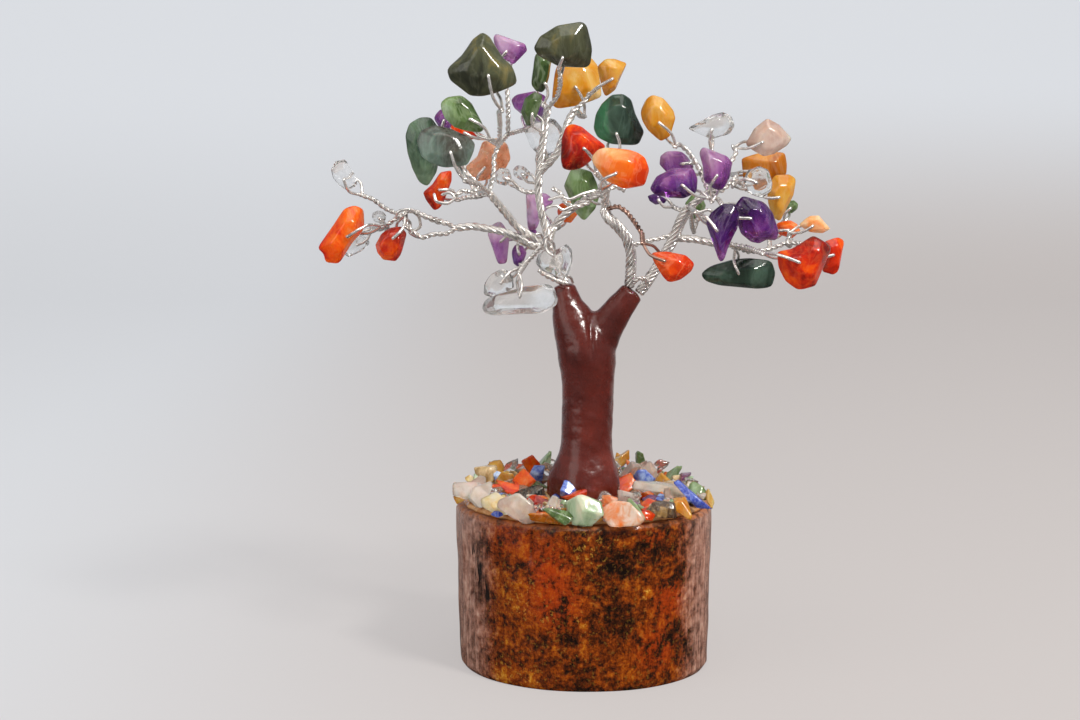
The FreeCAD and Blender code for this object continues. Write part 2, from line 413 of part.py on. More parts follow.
# Stones of the bed from the front, anticlockwise, ring by ring from the rim inwards
bed_stones = [
    ["green", "rose", "green", "carnelian", "jasper", "rose", "lapis", "rose", "quartz", "yellow",
     "quartz", "amethyst", "green", "quartz", "rose", "yellow", "lapis", "carnelian", "quartz", "green",
     "rose", "quartz", "yellow", "jasper", "rose", "carnelian", "quartz", "yellow", "quartz", "rose",
     "yellow", "quartz", "carnelian", "quartz"],
    ["quartz", "rose", "amethyst", "carnelian", "lapis", "green", "yellow", "jasper", "yellow", "rose",
     "carnelian", "quartz", "green", "lapis", "quartz", "carnelian", "jasper", "yellow", "carnelian",
     "quartz", "lapis", "green", "quartz", "jasper", "carnelian"],
    ["lapis", "carnelian", "quartz", "carnelian", "green", "lapis", "rose", "quartz", "jasper", "green",
     "lapis", "carnelian", "quartz", "jasper", "carnelian", "rose"],
]
bed_tip_degrees = [34.0, 38.0, 46.0]
bed_tip_change_degrees = 3.0
bed_twist_degrees = 7.0
bed_size_shares = [0.85, 0.9, 0.95, 1.0]


def spot(pixel, back_share):
    """Point of the sight line through a picture point, at a depth behind the trunk."""
    across = (pixel[0] / picture_centre_pixel[0] - 1.0) * math.tan(half_view_angle)
    rise = (picture_centre_pixel[1] - pixel[1]) / picture_centre_pixel[0] * math.tan(half_view_angle)
    ahead = math.cos(view_tilt) + rise * math.sin(view_tilt)
    climb = rise * math.cos(view_tilt) - math.sin(view_tilt)
    back = back_share * crown_half_depth
    reach = (view_distance + back) / ahead
    return Vector(eye_offset + across * reach, back, eye_height + climb * reach)


def pixel_size(pixel, back_share):
    """Length that one picture point covers at a spot."""
    return (spot((pixel[0] + 1, pixel[1]), back_share) - spot(pixel, back_share)).Length


def frame_across(direction):
    """Two unit vectors square to a direction and to each other."""
    sideways = direction.cross(Vector(0, 1, 0))
    if sideways.Length < 0.1 * direction.Length:
        sideways = direction.cross(Vector(1, 0, 0))
    sideways.normalize()
    upward = sideways.cross(direction)
    upward.normalize()
    return sideways, upward


def ring_corners(centre, direction, radii):
    """Corners at the given radii round a centre, square to a direction."""
    sideways, upward = frame_across(direction)
    corners = []
    for side, radius in enumerate(radii):
        angle = 2.0 * math.pi * side / len(radii)
        corners.append(centre + sideways * (radius * math.cos(angle)) + upward * (radius * math.sin(angle)))
    return corners


def round_radii(shares, sides, radius):
    """Radii of an outline with the given number of sides, through evenly spaced shares."""
    radii = []
    for side in range(sides):
        place = side * len(shares) / sides
        first = int(place)
        blend = 0.5 - 0.5 * math.cos(math.pi * (place - first))
        share = shares[first] * (1.0 - blend) + shares[(first + 1) % len(shares)] * blend
        radii.append(radius * share)
    return radii


def tube(points, diameter, sides):
    """Bent wire along straight runs with mitred bends."""
    start = ring_corners(points[0], points[1] - points[0], [diameter / 2.0] * sides)
    return Part.makePolygon(points).makePipeShell([Part.makePolygon(start + start[:1])], True, False, 1)


def fused(solids):
    """One solid of pieces that run into each other."""
    return solids[0].multiFuse(solids[1:]) if len(solids) > 1 else solids[0]


def without_slivers(shape):
    """A cut shape without the slivers that a cut leaves beside a flush face."""
    largest = max(solid.Volume for solid in shape.Solids)
    kept = [solid for solid in shape.Solids if solid.Volume > sliver_share * largest]
    return kept[0] if len(kept) == 1 else Part.makeCompound(kept)


def flat_face(corners):
    """Flat face with the given corners."""
    return Part.Face(Part.makePolygon(corners + corners[:1]))


def faceted(rings, split=False):
    """Closed solid through rings of corners, with flat ends, its sides split where they twist."""
    faces = [flat_face(rings[0]), flat_face(rings[-1])]
    count = len(rings[0])
    for low, high in zip(rings, rings[1:]):
        for corner in range(count):
            following = (corner + 1) % count
            if split:
                faces.append(flat_face([low[corner], low[following], high[following]]))
                faces.append(flat_face([low[corner], high[following], high[corner]]))
            else:
                faces.append(flat_face([low[corner], low[following], high[following], high[corner]]))
    solid = Part.makeSolid(Part.makeShell(faces))
    if solid.Volume < 0:
        solid.reverse()
    return solid


def chip_axes(chip):
    """Unit vectors along, across and through a chip, turned as it hangs."""
    angle = math.radians(chip.angle)
    turn = math.radians(chip.turn)
    along = Vector(math.cos(angle), 0, math.sin(angle))
    level = Vector(-math.sin(angle), 0, math.cos(angle))
    across = level * math.cos(turn) + Vector(0, -1, 0) * math.sin(turn)
    through = along.cross(across)
    return along, across, through


def chip_halves(chip):
    """Half the length, width and thickness of a chip."""
    scale = pixel_size(chip.centre, chip.back) / 2.0
    return chip.size[0] * scale, chip.size[1] * scale, chip.size[1] * scale * chip.thick


def chip_stem(chip):
    """Direction from a chip's centre to its wire, and how far the chip reaches that way."""
    along, across, _ = chip_axes(chip)
    length, width, _ = chip_halves(chip)
    angle = math.radians(chip.stem - chip.angle)
    outward = along * math.cos(angle) + across * math.sin(angle)
    corners = [along * (x * length) + across * (y * width) for x, y in chip_outline_shares[chip.outline]]
    return outward, max(corner.dot(outward) for corner in corners)


def twist_end(chip):
    """Point outside a chip where its two wire legs are twisted together."""
    outward, reach = chip_stem(chip)
    margin = wire_diameter + loop_clearance + twist_length
    return spot(chip.centre, chip.back) + outward * (reach * loop_reach_share + margin)


def wire_loop(chip):
    """Bends of the wire that goes through a chip's hole and back to the twist on both sides."""
    outward, reach = chip_stem(chip)
    through = chip_axes(chip)[2]
    thickness = chip_halves(chip)[2]
    clear = wire_diameter / 2.0 + loop_clearance
    long_half = reach * loop_reach_share + clear
    short_half = thickness * loop_reach_share + clear
    mouth_angle = math.acos(chip.hole * reach / long_half)
    centre = spot(chip.centre, chip.back)
    bends = [twist_end(chip)]
    for share in (loop_knee_share, 1.0, -1.0, -loop_knee_share):
        angle = mouth_angle * share
        bends.append(centre + outward * (long_half * math.cos(angle)) + through * (short_half * math.sin(angle)))
    return bends + bends[:1]


def crown_chip(chip):
    """Tumbled chip with the drilled hole for its wire."""
    along, across, through = chip_axes(chip)
    length, width, thickness = chip_halves(chip)
    centre = spot(chip.centre, chip.back)
    ring_shares = small_ring_shares if chip.size[0] < small_chip_pixels else chip_ring_shares
    rings = []
    for scale, height in ring_shares:
        level = centre + through * (thickness * height)
        rings.append([level + along * (x * length * scale) + across * (y * width * scale)
                      for x, y in chip_outline_shares[chip.outline]])
    outward, reach = chip_stem(chip)
    hole_radius = (wire_diameter / 2.0 + hole_clearance) / math.cos(math.pi / hole_sides)
    axis_point = centre + outward * (chip.hole * reach)
    drill = [axis_point - through * (2.0 * thickness), axis_point + through * (2.0 * thickness)]
    return faceted(rings).cut(tube(drill, 2.0 * hole_radius, hole_sides))


def crown_chips():
    """The chips of the crown, grouped by node."""
    groups = {}
    for chip in crown_chip_pixels_and_shares.values():
        groups.setdefault(chip.node, []).append(crown_chip(chip))
    return groups


def crown_wires(carriers):
    """The wire branches with their twigs and loops, each flush with the carriers and the ones before."""
    sections = {"twig": (twig_diameter, twig_sides), "branch": (branch_diameter, bundle_sides),
                "bundle": (bundle_diameter, bundle_sides)}
    branches = {}
    for node, runs in wire_pixels_and_shares.items():
        pieces = []
        for run in runs:
            route = [spot(bend[:2], bend[2]) for bend in run.bends]
            if run.chip:
                chip = crown_chip_pixels_and_shares[run.chip]
                last = twist_end(chip) - route[-1]
                route.append(twist_end(chip) + last * (wire_diameter / last.Length))
                pieces.append(tube(wire_loop(chip), wire_diameter, loop_sides))
            pieces.append(tube(route, *sections[run.size]))
        branch = fused(pieces)
        for other in carriers + list(branches.values()):
            if branch.BoundBox.intersect(other.BoundBox):
                branch = branch.cut(other)
        branches[node] = without_slivers(branch)
    return branches


def core_foot():
    """Point where the wires leave the foot of the trunk."""
    fork = spot(core_pixels_and_shares["left"][0][:2], 0.0)
    return Vector(fork.x, 0, log_height)


def trunk_core(clearance):
    """Bundle of twisted wires inside the trunk, or the bore for it when given a clearance."""
    left = [spot(bend[:2], bend[2]) for bend in core_pixels_and_shares["left"]]
    right = [spot(bend[:2], bend[2]) for bend in core_pixels_and_shares["right"]]
    socket_floor = core_foot() - Vector(0, 0, socket_depth)
    extra = 2.0 * clearance
    return fused([tube([socket_floor] + right, core_diameter + extra, bundle_sides),
                  tube(left, bundle_diameter + extra, bundle_sides)])


def between(values, place):
    """Value of a smooth curve through evenly spaced values, at a place counted in steps."""
    first = min(int(place), len(values) - 2)
    blend = place - first
    before = values[max(first - 1, 0)]
    low, high = values[first], values[first + 1]
    after = values[min(first + 2, len(values) - 1)]
    return (low + (high - before) * (0.5 * blend)
            + (before - low * 2.5 + high * 2.0 - after * 0.5) * blend ** 2
            + ((low - high) * 1.5 + (after - before) * 0.5) * blend ** 3)


def limb(sections):
    """Smooth clay limb through its sections, from picture points and shares of the column."""
    centres = [spot(pixel, 0.0) for pixel, _, _ in sections]
    shares = [share for _, share, _ in sections]
    lobe_depths = [lobes for _, _, lobes in sections]
    rings = []
    for step in range(clay_steps * (len(sections) - 1) + 1):
        place = step / clay_steps
        centre = between(centres, place)
        ahead = between(centres, min(place + 1.0 / clay_steps, len(sections) - 1))
        behind = between(centres, max(place - 1.0 / clay_steps, 0))
        depth = between(lobe_depths, place)
        radius = between(shares, place) * column_diameter / 2.0
        lobed = [1.0 - depth * (1.0 - share) for share in root_lobe_shares]
        rings.append(ring_corners(centre, ahead - behind, round_radii(lobed, clay_sides, radius)))
    return faceted(rings, split=True)


def trunk():
    """Moulded clay trunk with a root flare and two limbs, bored for its wires."""
    body = limb(trunk_left_pixels_and_shares).fuse(limb(trunk_right_pixels_and_shares))
    floor_block = Part.makeBox(2.0 * log_diameter, 2.0 * log_diameter, log_height,
                               Vector(-log_diameter, -log_diameter, 0))
    return body.cut(floor_block).cut(trunk_core(clay_clearance))


def log_base():
    """Varnished log slice, slightly out of round, with a socket for the wires."""
    top_radius = log_diameter / 2.0
    foot_radius = log_foot_diameter / 2.0
    levels = [(foot_radius - log_edge, 0.0), (foot_radius, log_edge),
              (top_radius, log_height - log_edge), (top_radius - log_edge, log_height)]
    rings = []
    for radius, height in levels:
        radii = round_radii(log_outline_shares, log_sides, radius)
        rings.append(ring_corners(Vector(0, 0, height), Vector(0, 0, 1), radii))
    socket = Part.makeCylinder(core_diameter / 2.0 + socket_clearance, socket_depth,
                               core_foot() - Vector(0, 0, socket_depth))
    return faceted(rings).cut(socket)


def foot_place():
    """Centre of the trunk's foot on the log, and the radius it covers."""
    pixel, share, _ = trunk_left_pixels_and_shares[0]
    centre = spot(pixel, 0.0)
    return Vector(centre.x, centre.y, log_height), share * column_diameter / 2.0


def glue_bed():
    """Clear glue poured round the trunk's foot."""
    centre, radius = foot_place()
    rim = [glue_diameter / 2.0] * log_sides
    levels = [Vector(0, 0, log_height), Vector(0, 0, log_height + glue_thickness)]
    disc = faceted([ring_corners(level, Vector(0, 0, 1), rim) for level in levels])
    collar = [(radius + foot_clearance) / math.cos(math.pi / collar_sides)] * collar_sides
    raised = centre + Vector(0, 0, glue_thickness)
    return disc.cut(faceted([ring_corners(level, Vector(0, 0, 1), collar) for level in (centre, raised)]))


def bed_chip(centre, inward, ring, index):
    """Small chip that leans on its neighbour and stands on the glue."""
    twist = math.radians(bed_twist_degrees * (index % 3 - 1))
    size = index % len(bed_size_shares)
    tip = math.radians(bed_tip_degrees[ring] + bed_tip_change_degrees * size)
    side = inward.cross(Vector(0, 0, 1)) * (1 if ring % 2 else -1)
    level = side * math.cos(twist) + inward * math.sin(twist)
    along = level * math.cos(tip) + Vector(0, 0, math.sin(tip))
    across = inward * math.cos(twist) - side * math.sin(twist)
    through = along.cross(across)
    length = bed_size_shares[size] * bed_chip_length / 2.0
    width = bed_size_shares[size] * bed_chip_width / 2.0
    thickness = bed_size_shares[size] * bed_chip_thickness / 2.0
    outline = bed_outline_shares[index % len(bed_outline_shares)]
    rings = [[centre + through * (thickness * height) + along * (x * scale * length)
              + across * (y * scale * width) for x, y in outline] for scale, height in small_ring_shares]
    solid = faceted(rings)
    solid.translate(Vector(0, 0, log_height + glue_thickness - solid.BoundBox.ZMin))
    return solid


def bed_chips():
    """Rings of small chips on the glue, grouped by stone."""
    groups = {}
    for ring, stones in enumerate(bed_stones):
        radius = glue_diameter / 2.0 - bed_rim_margin - bed_chip_width / 2.0 - ring * bed_ring_step
        for step, stone in enumerate(stones):
            angle = 2.0 * math.pi * step / len(stones) - math.pi / 2.0
            outward = Vector(math.cos(angle), math.sin(angle), 0)
            groups.setdefault("bed_" + stone, []).append(bed_chip(outward * radius, outward * -1, ring, step))
    return groups


def build():
    """All nodes of the ornament, by name."""
    nodes = {
        "log_base": log_base(),
        "glue_bed": glue_bed(),
        "trunk": trunk(),
        "trunk_core": trunk_core(0.0),
    }
    nodes.update(crown_wires([nodes["trunk"], nodes["trunk_core"]]))
    for name, solids in list(bed_chips().items()) + list(crown_chips().items()):
        nodes[name] = solids[0] if len(solids) == 1 else Part.makeCompound(solids)
    return nodes


os.makedirs("parts", exist_ok=True)
for name, shape in build().items():
    shape.exportStep("parts/" + name + ".step")
    print(name, "solids", len(shape.Solids), "valid", shape.isValid(), "volume", round(shape.Volume, 2))
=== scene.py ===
"""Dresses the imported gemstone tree: tumbled chips, twisted wire, painted clay and a varnished log.

Tables and shapes are in millimetres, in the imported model's frame, and meshes are made in metres.
The crown is set out on sight lines, by picture point and by depth as a share of the crown's half
depth, with the same values as the solids.
"""
import json
import math
from collections import namedtuple

import bpy
import numpy as np
from bpy.props import FloatProperty, FloatVectorProperty, IntProperty, PointerProperty
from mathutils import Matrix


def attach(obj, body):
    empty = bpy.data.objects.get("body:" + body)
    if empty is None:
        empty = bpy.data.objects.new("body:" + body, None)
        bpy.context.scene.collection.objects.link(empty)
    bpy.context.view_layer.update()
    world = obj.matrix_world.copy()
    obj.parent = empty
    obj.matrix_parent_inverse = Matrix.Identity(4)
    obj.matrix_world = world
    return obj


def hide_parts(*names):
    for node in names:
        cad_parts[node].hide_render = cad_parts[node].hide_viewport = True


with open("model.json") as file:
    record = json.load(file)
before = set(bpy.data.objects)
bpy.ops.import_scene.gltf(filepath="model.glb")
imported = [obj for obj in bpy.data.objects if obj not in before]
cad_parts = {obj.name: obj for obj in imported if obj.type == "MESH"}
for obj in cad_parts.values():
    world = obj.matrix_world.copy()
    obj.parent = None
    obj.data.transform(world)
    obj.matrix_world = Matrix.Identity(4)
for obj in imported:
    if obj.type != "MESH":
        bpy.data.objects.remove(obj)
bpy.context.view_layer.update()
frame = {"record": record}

bl_info = {
    "name": "Gemstone tree",
    "version": (1, 0, 0),
    "blender": (4, 5, 0),
    "location": "3D View > Sidebar > Gem tree",
    "description": "Builds a gemstone tree of stone chips on twisted wire round its packed solids",
    "category": "Add Mesh",
}

MM = 0.001
node_slots = {row["node"]: row["material_slot"] for row in frame["record"]["subparts"]}

# Sight lines
view_distance = 275.0
eye = np.array([-6.2, -view_distance, 77.0])
crown_half_depth = 20.0
view_tilt = math.radians(7.26)
half_view_angle = math.radians(14.96672)
picture_centre_pixel = (540.0, 360.0)

# Log and glue
log_diameter = 36.0
log_foot_diameter = 35.0
log_height = 22.4
log_edge = 0.6
log_outline_shares = [1.0, 0.985, 0.99, 1.0, 0.99, 0.975, 0.985, 1.0, 0.995, 0.98, 0.985, 0.995]
log_columns = 320
log_side_rows = 90
crack_depth = 0.55
frayed_height = 1.1
bark_rim_height = 0.9
bark_squash = 0.16
frayed_sink = 0.3
glue_diameter = 34.6
glue_thickness = 0.8
glue_columns = 256
glue_lobe_depth = 0.45
glue_notch_depth = 0.2
glue_wave = 0.2
glue_wave_start = 0.3
glue_top = log_height + glue_thickness

# Profile of the glue from its underside to its middle: share of its reach, and height
glue_profile = [(0.3, 0.0), (1.0, 0.0), (1.0, 0.35), (0.985, 0.62), (0.95, 0.75), (0.85, 0.78), (0.7, 0.78),
                (0.5, 0.78), (0.3, 0.78), (0.12, 0.78)]

# Cracks of the bark: direction in degrees, lower and upper end, and width in degrees
bark_cracks = [(-157, 9, 18, 2), (-150, 11, 17, 1.3), (-145, 7, 14, 1.2), (-114.4, 17.2, 21.6, 1.3),
               (-38, 3, 8, 1.2), (62, 4, 16, 1.8), (131, 8, 19, 1.4), (12, 6, 18, 1.5)]

# Trunk
column_diameter = 7.4
root_lobe_shares = [1.0, 0.84, 0.97, 0.82, 0.94, 0.84, 1.0, 0.85, 0.96, 0.83]
foot_flare_share = 0.3
foot_flare_height = 3.4
foot_flare_reach = 2.8
fork_pixel = (591, 322)
clay_grain = 0.24
clay_smoothings = 8
thumb_depth, thumb_length = 0.16, 5.0
pore_depth, pore_length = 0.08, 1.5
# Crease below the fork: its depth, half width, drop and half height
crease_depth, crease_half, crease_drop, crease_rise = 0.35, 0.45, 2.0, 3.0

# Wires: strands, diameter of the whole and diameter of a strand
wire_diameter = 0.42
wire_sides = 8
ropes = {"twig": (2, 0.75, 0.4), "branch": (4, 1.15, 0.44), "bundle": (7, 1.6, 0.46)}
# Step of a wire's path, and the length over which its bends are rounded
path_step, path_bend = 0.14, 1.6
loose_step, loose_bend = 0.16, 1.4
loop_step, loop_bend = 0.16, 0.8
strand_wander = 0.35
strand_looseness = 0.12
core_share = 1.3
loop_clearance = 0.25
loop_reach_share = 1.08
loop_bow = 0.85
loop_shares = (0.25, 0.5, 0.75, 1.0, -1.0, -0.75, -0.5, -0.25)
twist_length = 0.5

# Chips of the crown and of the bed
small_chip_pixels = 38
corner_rounding = 14.0
shaved_planes = 5
dent_share = 0.03
shave_shares = (0.8, 0.94)
bed_chip_halves = np.array([4.1, 3.1, 1.6]) / 2.0
bed_ring_step = 3.35
bed_rim_margin = 0.1
bed_tip_degrees = [34.0, 38.0, 46.0]
bed_tip_change_degrees = 3.0
bed_twist_degrees = 7.0
bed_size_shares = [0.85, 0.9, 0.95, 1.0]
bed_shade = 0.16
bed_fullness = 1.06
bed_sink = 0.1
heap_reach = 17.7
heap_foot_reach = 5.4
heap_fullness = 1.24
heap_thick_share = 0.48
heap_behind_share = 0.2
heap_flat_share = 0.42
heap_view_angle = math.radians(14.0)
# Heights above the glue between which a chip of the heap is set
heap_heights = (4.0, 0.3)
# Crumbs: spread of half their size and its shares, of their reach, height and lightness
crumb_halves, crumb_shares = (0.35, 0.8), np.array([1.0, 0.8, 0.6])
crumb_reach_squares, crumb_heights, crumb_lightness = (0.3, 0.98), (0.2, 1.4), (0.1, 0.4)
crumb_kinds = ["bed_rose", "bed_quartz", "bed_yellow", "bed_green", "bed_carnelian"]

# Paper: depth of its near edge and of the start of its bend, the bend's radius, height and half width
paper_near, paper_far, paper_bend, paper_high, paper_half = -700.0, 520.0, 260.0, 900.0, 1400.0
paper_columns = 9

# Lamps: place, size and power, all aimed at the middle of the tree
lamp_places = {
    "window_lamp": ((230.0, -280.0, 400.0), 90.0, 2.6),
    "fill_lamp": ((-420.0, -300.0, 240.0), 500.0, 0.9),
    "top_lamp": ((60.0, -120.0, 560.0), 460.0, 1.1),
}
lamp_aim = np.array([0.0, 0.0, 45.0])

# Limbs of the trunk: picture point, radius and root lobes as shares
trunk_limbs = [
    [(585, 499, 1.42, 1), (585, 488, 1.22, 0.9), (586, 468, 1.05, 0.5), (587, 433, 0.99, 0.1),
     (588, 385, 0.99, 0), (586, 350, 1.12, 0), (574, 322, 0.86, 0), (567, 303, 0.6, 0), (564, 283, 0.4, 0)],
    [(590, 372, 0.7, 0), (600, 338, 0.76, 0), (616, 313, 0.6, 0), (634, 290, 0.46, 0)],
]

# Loose ends and turns of wire left round the forks: the piece, and bends by picture point and depth
loose_wires = [
    ("branch_left_low", (396, 219, -0.06), (398, 211, -0.08), (409, 209, -0.08), (419, 216, -0.04),
     (421, 227, 0), (412, 232, -0.02), (404, 226, -0.06)),
    ("stem_left", (568, 284, -0.1), (557, 281, -0.12), (547, 276, -0.13), (538, 270, -0.13)),
    ("stem_left", (560, 279, -0.09), (565, 275, -0.12), (571, 277, -0.1), (573, 283, -0.04)),
    ("stem_right_inner", (633, 283, -0.06), (638, 278, -0.1), (645, 279, -0.08), (648, 285, -0.02)),
    ("branch_left_low", (404, 216, 0.02), (411, 223, 0.04), (409, 233, 0.04), (419, 238, 0.02),
     (433, 233, 0)),
    ("branch_left_low", (415, 213, -0.06), (426, 217, -0.06), (437, 222, -0.04), (450, 224, -0.02)),
    ("branch_left_high", (434, 193, -0.1), (436, 202, -0.12), (448, 204, -0.12), (456, 198, -0.1),
     (450, 192, -0.1), (441, 195, -0.1)),
    ("branch_left_high", (455, 196, -0.1), (463, 190, -0.08), (472, 193, -0.06), (479, 188, -0.04)),
    ("branch_centre", (548, 200, -0.02), (560, 196, -0.06), (570, 200, -0.06), (582, 194, -0.04),
     (596, 190, 0)),
    ("branch_centre", (552, 188, 0.04), (561, 193, 0.02), (566, 204, -0.02), (577, 207, -0.02),
     (590, 202, 0)),
    ("branch_centre", (546, 208, -0.04), (556, 205, -0.08), (563, 211, -0.08), (572, 206, -0.06)),
    ("branch_right_high", (598, 186, 0), (607, 190, -0.04), (616, 186, -0.04), (625, 191, 0)),
    ("branch_right_mid", (690, 206, -0.08), (699, 213, -0.1), (709, 209, -0.1), (716, 216, -0.08),
     (726, 212, -0.04)),
    ("branch_right_mid", (694, 222, -0.04), (703, 217, -0.06), (713, 223, -0.06), (722, 230, -0.04)),
]

# Patches of the bark: picture point, radius in millimetres, and strength as a share
bark_patches = {
    "dark": [(606, 543, 4.6, 0.9), (606, 578, 5.4, 1), (632, 560, 3.6, 0.6), (668, 548, 4, 0.8),
        (592, 678, 5.5, 0.9), (534, 537, 0.6, 2.4), (536, 545, 0.7, 2.4), (534, 553, 0.6, 2.2),
        (536, 560, 0.4, 1.6), (649, 595, 0.45, 2), (620, 545, 0.5, 2), (566, 640, 3.5, 0.7),
        (512, 622, 1.3, 1), (615, 625, 4.6, 0.8), (500, 660, 3.4, 0.6), (676, 640, 3.4, 0.6)],
    "ochre": [(590, 553, 3.6, 1), (583, 625, 2.6, 1), (649, 594, 1.4, 2.4), (520, 600, 4.4, 0.7),
        (583, 652, 2, 1.1), (498, 676, 3.6, 1), (525, 684, 3.4, 1), (612, 637, 1, 1.6), (545, 620, 2.4, 0.7),
        (620, 544, 1.1, 1.8)],
    "cracked": [(472, 556, 2.4, 1.3), (475, 572, 2.6, 1.4), (480, 590, 2.4, 1.3), (486, 600, 1.4, 1),
        (495, 640, 1.2, 0.6), (705, 640, 1.6, 0.5)],
    "red": [(552, 600, 6.2, 0.6), (545, 560, 5, 0.48), (505, 535, 5.6, 0.36), (672, 600, 4.4, 0.6),
        (660, 650, 5.2, 0.54), (655, 540, 3.4, 0.36)],
}

# One chip of the heap round the trunk: its stone, the picture point of its centre, its length and
# height in the picture, the turn of its length, how far it leans back, and its lightness
heap_chips = [
    ("quartz", (549, 463.5), (17, 9), 10, 40, 0.1), ("yellow", (618.5, 462), (15, 10), 80, 20, 0.16),
    ("rose", (538, 470.5), (32, 12), -12, 55, 0.12), ("rose", (528, 479.5), (40, 12), -4, 60, 0.02),
    ("carnelian", (511, 469.5), (28, 9), 14, 45, 0.14), ("lapis", (499, 476), (19, 14), 4, 40, 0.34),
    ("green", (483.5, 479.5), (17, 8), 10, 45, -0.16), ("jasper", (491, 484.5), (8, 6), -30, 30, -0.2),
    ("carnelian", (516, 481), (11, 9), 20, 40, 0.22), ("yellow", (666, 476.5), (14, 8), -10, 45, 0.24),
    ("jasper", (681, 479), (16, 9), -14, 45, 0.2), ("quartz", (655, 474), (9, 6), 0, 40, 0.1),
    ("green", (639.5, 462), (19, 12), 88, 6, 0.02), ("lapis", (626, 472), (14, 9), 4, 40, 0.04),
    ("carnelian", (637, 473), (25, 8), 8, 50, 0.1), ("carnelian", (632, 480.5), (13, 6), 4, 50, 0),
    ("rose", (466, 490), (26, 18), 35, 40, 0.34), ("rose", (480, 496.5), (31, 23), 32, 35, 0.32),
    ("yellow", (455.5, 499), (11, 9), 20, 30, 0.04), ("yellow", (496.5, 505), (26, 17), -42, 28, 0.42),
    ("lapis", (487, 515), (14, 8), -8, 30, 0), ("carnelian", (512, 490), (29, 13), -14, 45, 0.06),
    ("green", (538, 486.5), (23, 7), -2, 50, -0.02), ("jasper", (532, 494.5), (26, 12), 20, 45, -0.24),
    ("carnelian", (536, 503), (22, 13), -20, 30, -0.1), ("jasper", (544.5, 494.5), (14, 6), -55, 30, 0),
    ("rose", (518, 509), (33, 23), -8, 26, 0.24), ("rose", (554, 504.5), (15, 13), 80, 20, 0.4),
    ("yellow", (541, 515.5), (30, 15), 4, 24, -0.1), ("green", (561, 516), (30, 15), -4, 24, -0.02),
    ("lapis", (566, 491), (18, 15), 32, 30, 0.12), ("lapis", (556, 496.5), (9, 6), 0, 40, -0.16),
    ("carnelian", (578.5, 494.5), (26, 11), 20, 40, 0.08), ("green", (568, 505), (9, 6), 0, 40, -0.1),
    ("green", (586, 510), (34, 26), -22, 26, 0.38), ("yellow", (597, 519.5), (10, 6), 0, 30, 0),
    ("carnelian", (621, 513.5), (36, 23), -4, 24, 0.42), ("carnelian", (609.5, 501), (16, 12), 30, 30, 0.32),
    ("carnelian", (604.5, 508.5), (11, 5), -70, 20, 0.1), ("rose", (629, 497.5), (20, 14), -10, 34, 0.26),
    ("green", (634.5, 509), (23, 14), -50, 26, 0.22), ("carnelian", (649, 517), (19, 11), -4, 30, 0.08),
    ("jasper", (662, 509.5), (31, 14), 6, 34, -0.08), ("yellow", (682, 507), (24, 15), -48, 28, 0.04),
    ("lapis", (688, 494.5), (43, 10), -40, 24, -0.04), ("green", (698, 491.5), (23, 12), -34, 30, 0.04),
    ("yellow", (709, 497.5), (19, 7), -80, 14, 0.28), ("rose", (658, 488), (43, 18), -8, 45, 0.3),
    ("rose", (676, 495), (22, 14), -30, 40, 0.06), ("amethyst", (649.5, 499.5), (21, 7), 2, 40, 0.04),
    ("lapis", (647, 494.5), (12, 6), 0, 40, -0.08), ("quartz", (637, 492), (12, 7), 20, 40, 0.1),
    ("carnelian", (622, 487.5), (28, 15), 24, 40, 0.16), ("quartz", (604, 497), (12, 9), 20, 40, 0.16),
    ("rose", (611, 517), (14, 9), 0, 30, 0.2), ("quartz", (507, 497), (16, 8), -10, 45, 0.16),
]

# One chip of the crown: its node, the picture point of its centre, its depth, its length and width in
# the picture, the angle of its length, its turn about its length, its thickness as a share of its
# width, the side its wire leaves by, how far the hole lies that way, its lightness and its outline.
# Lightness is a shift within the stone, a slope across the chip, and the side that is paler. An
# outline is points along and across, in hundredths of half the length and half the width.
Chip = namedtuple("Chip", "node centre back size angle turn thick stem hole lightness outline")

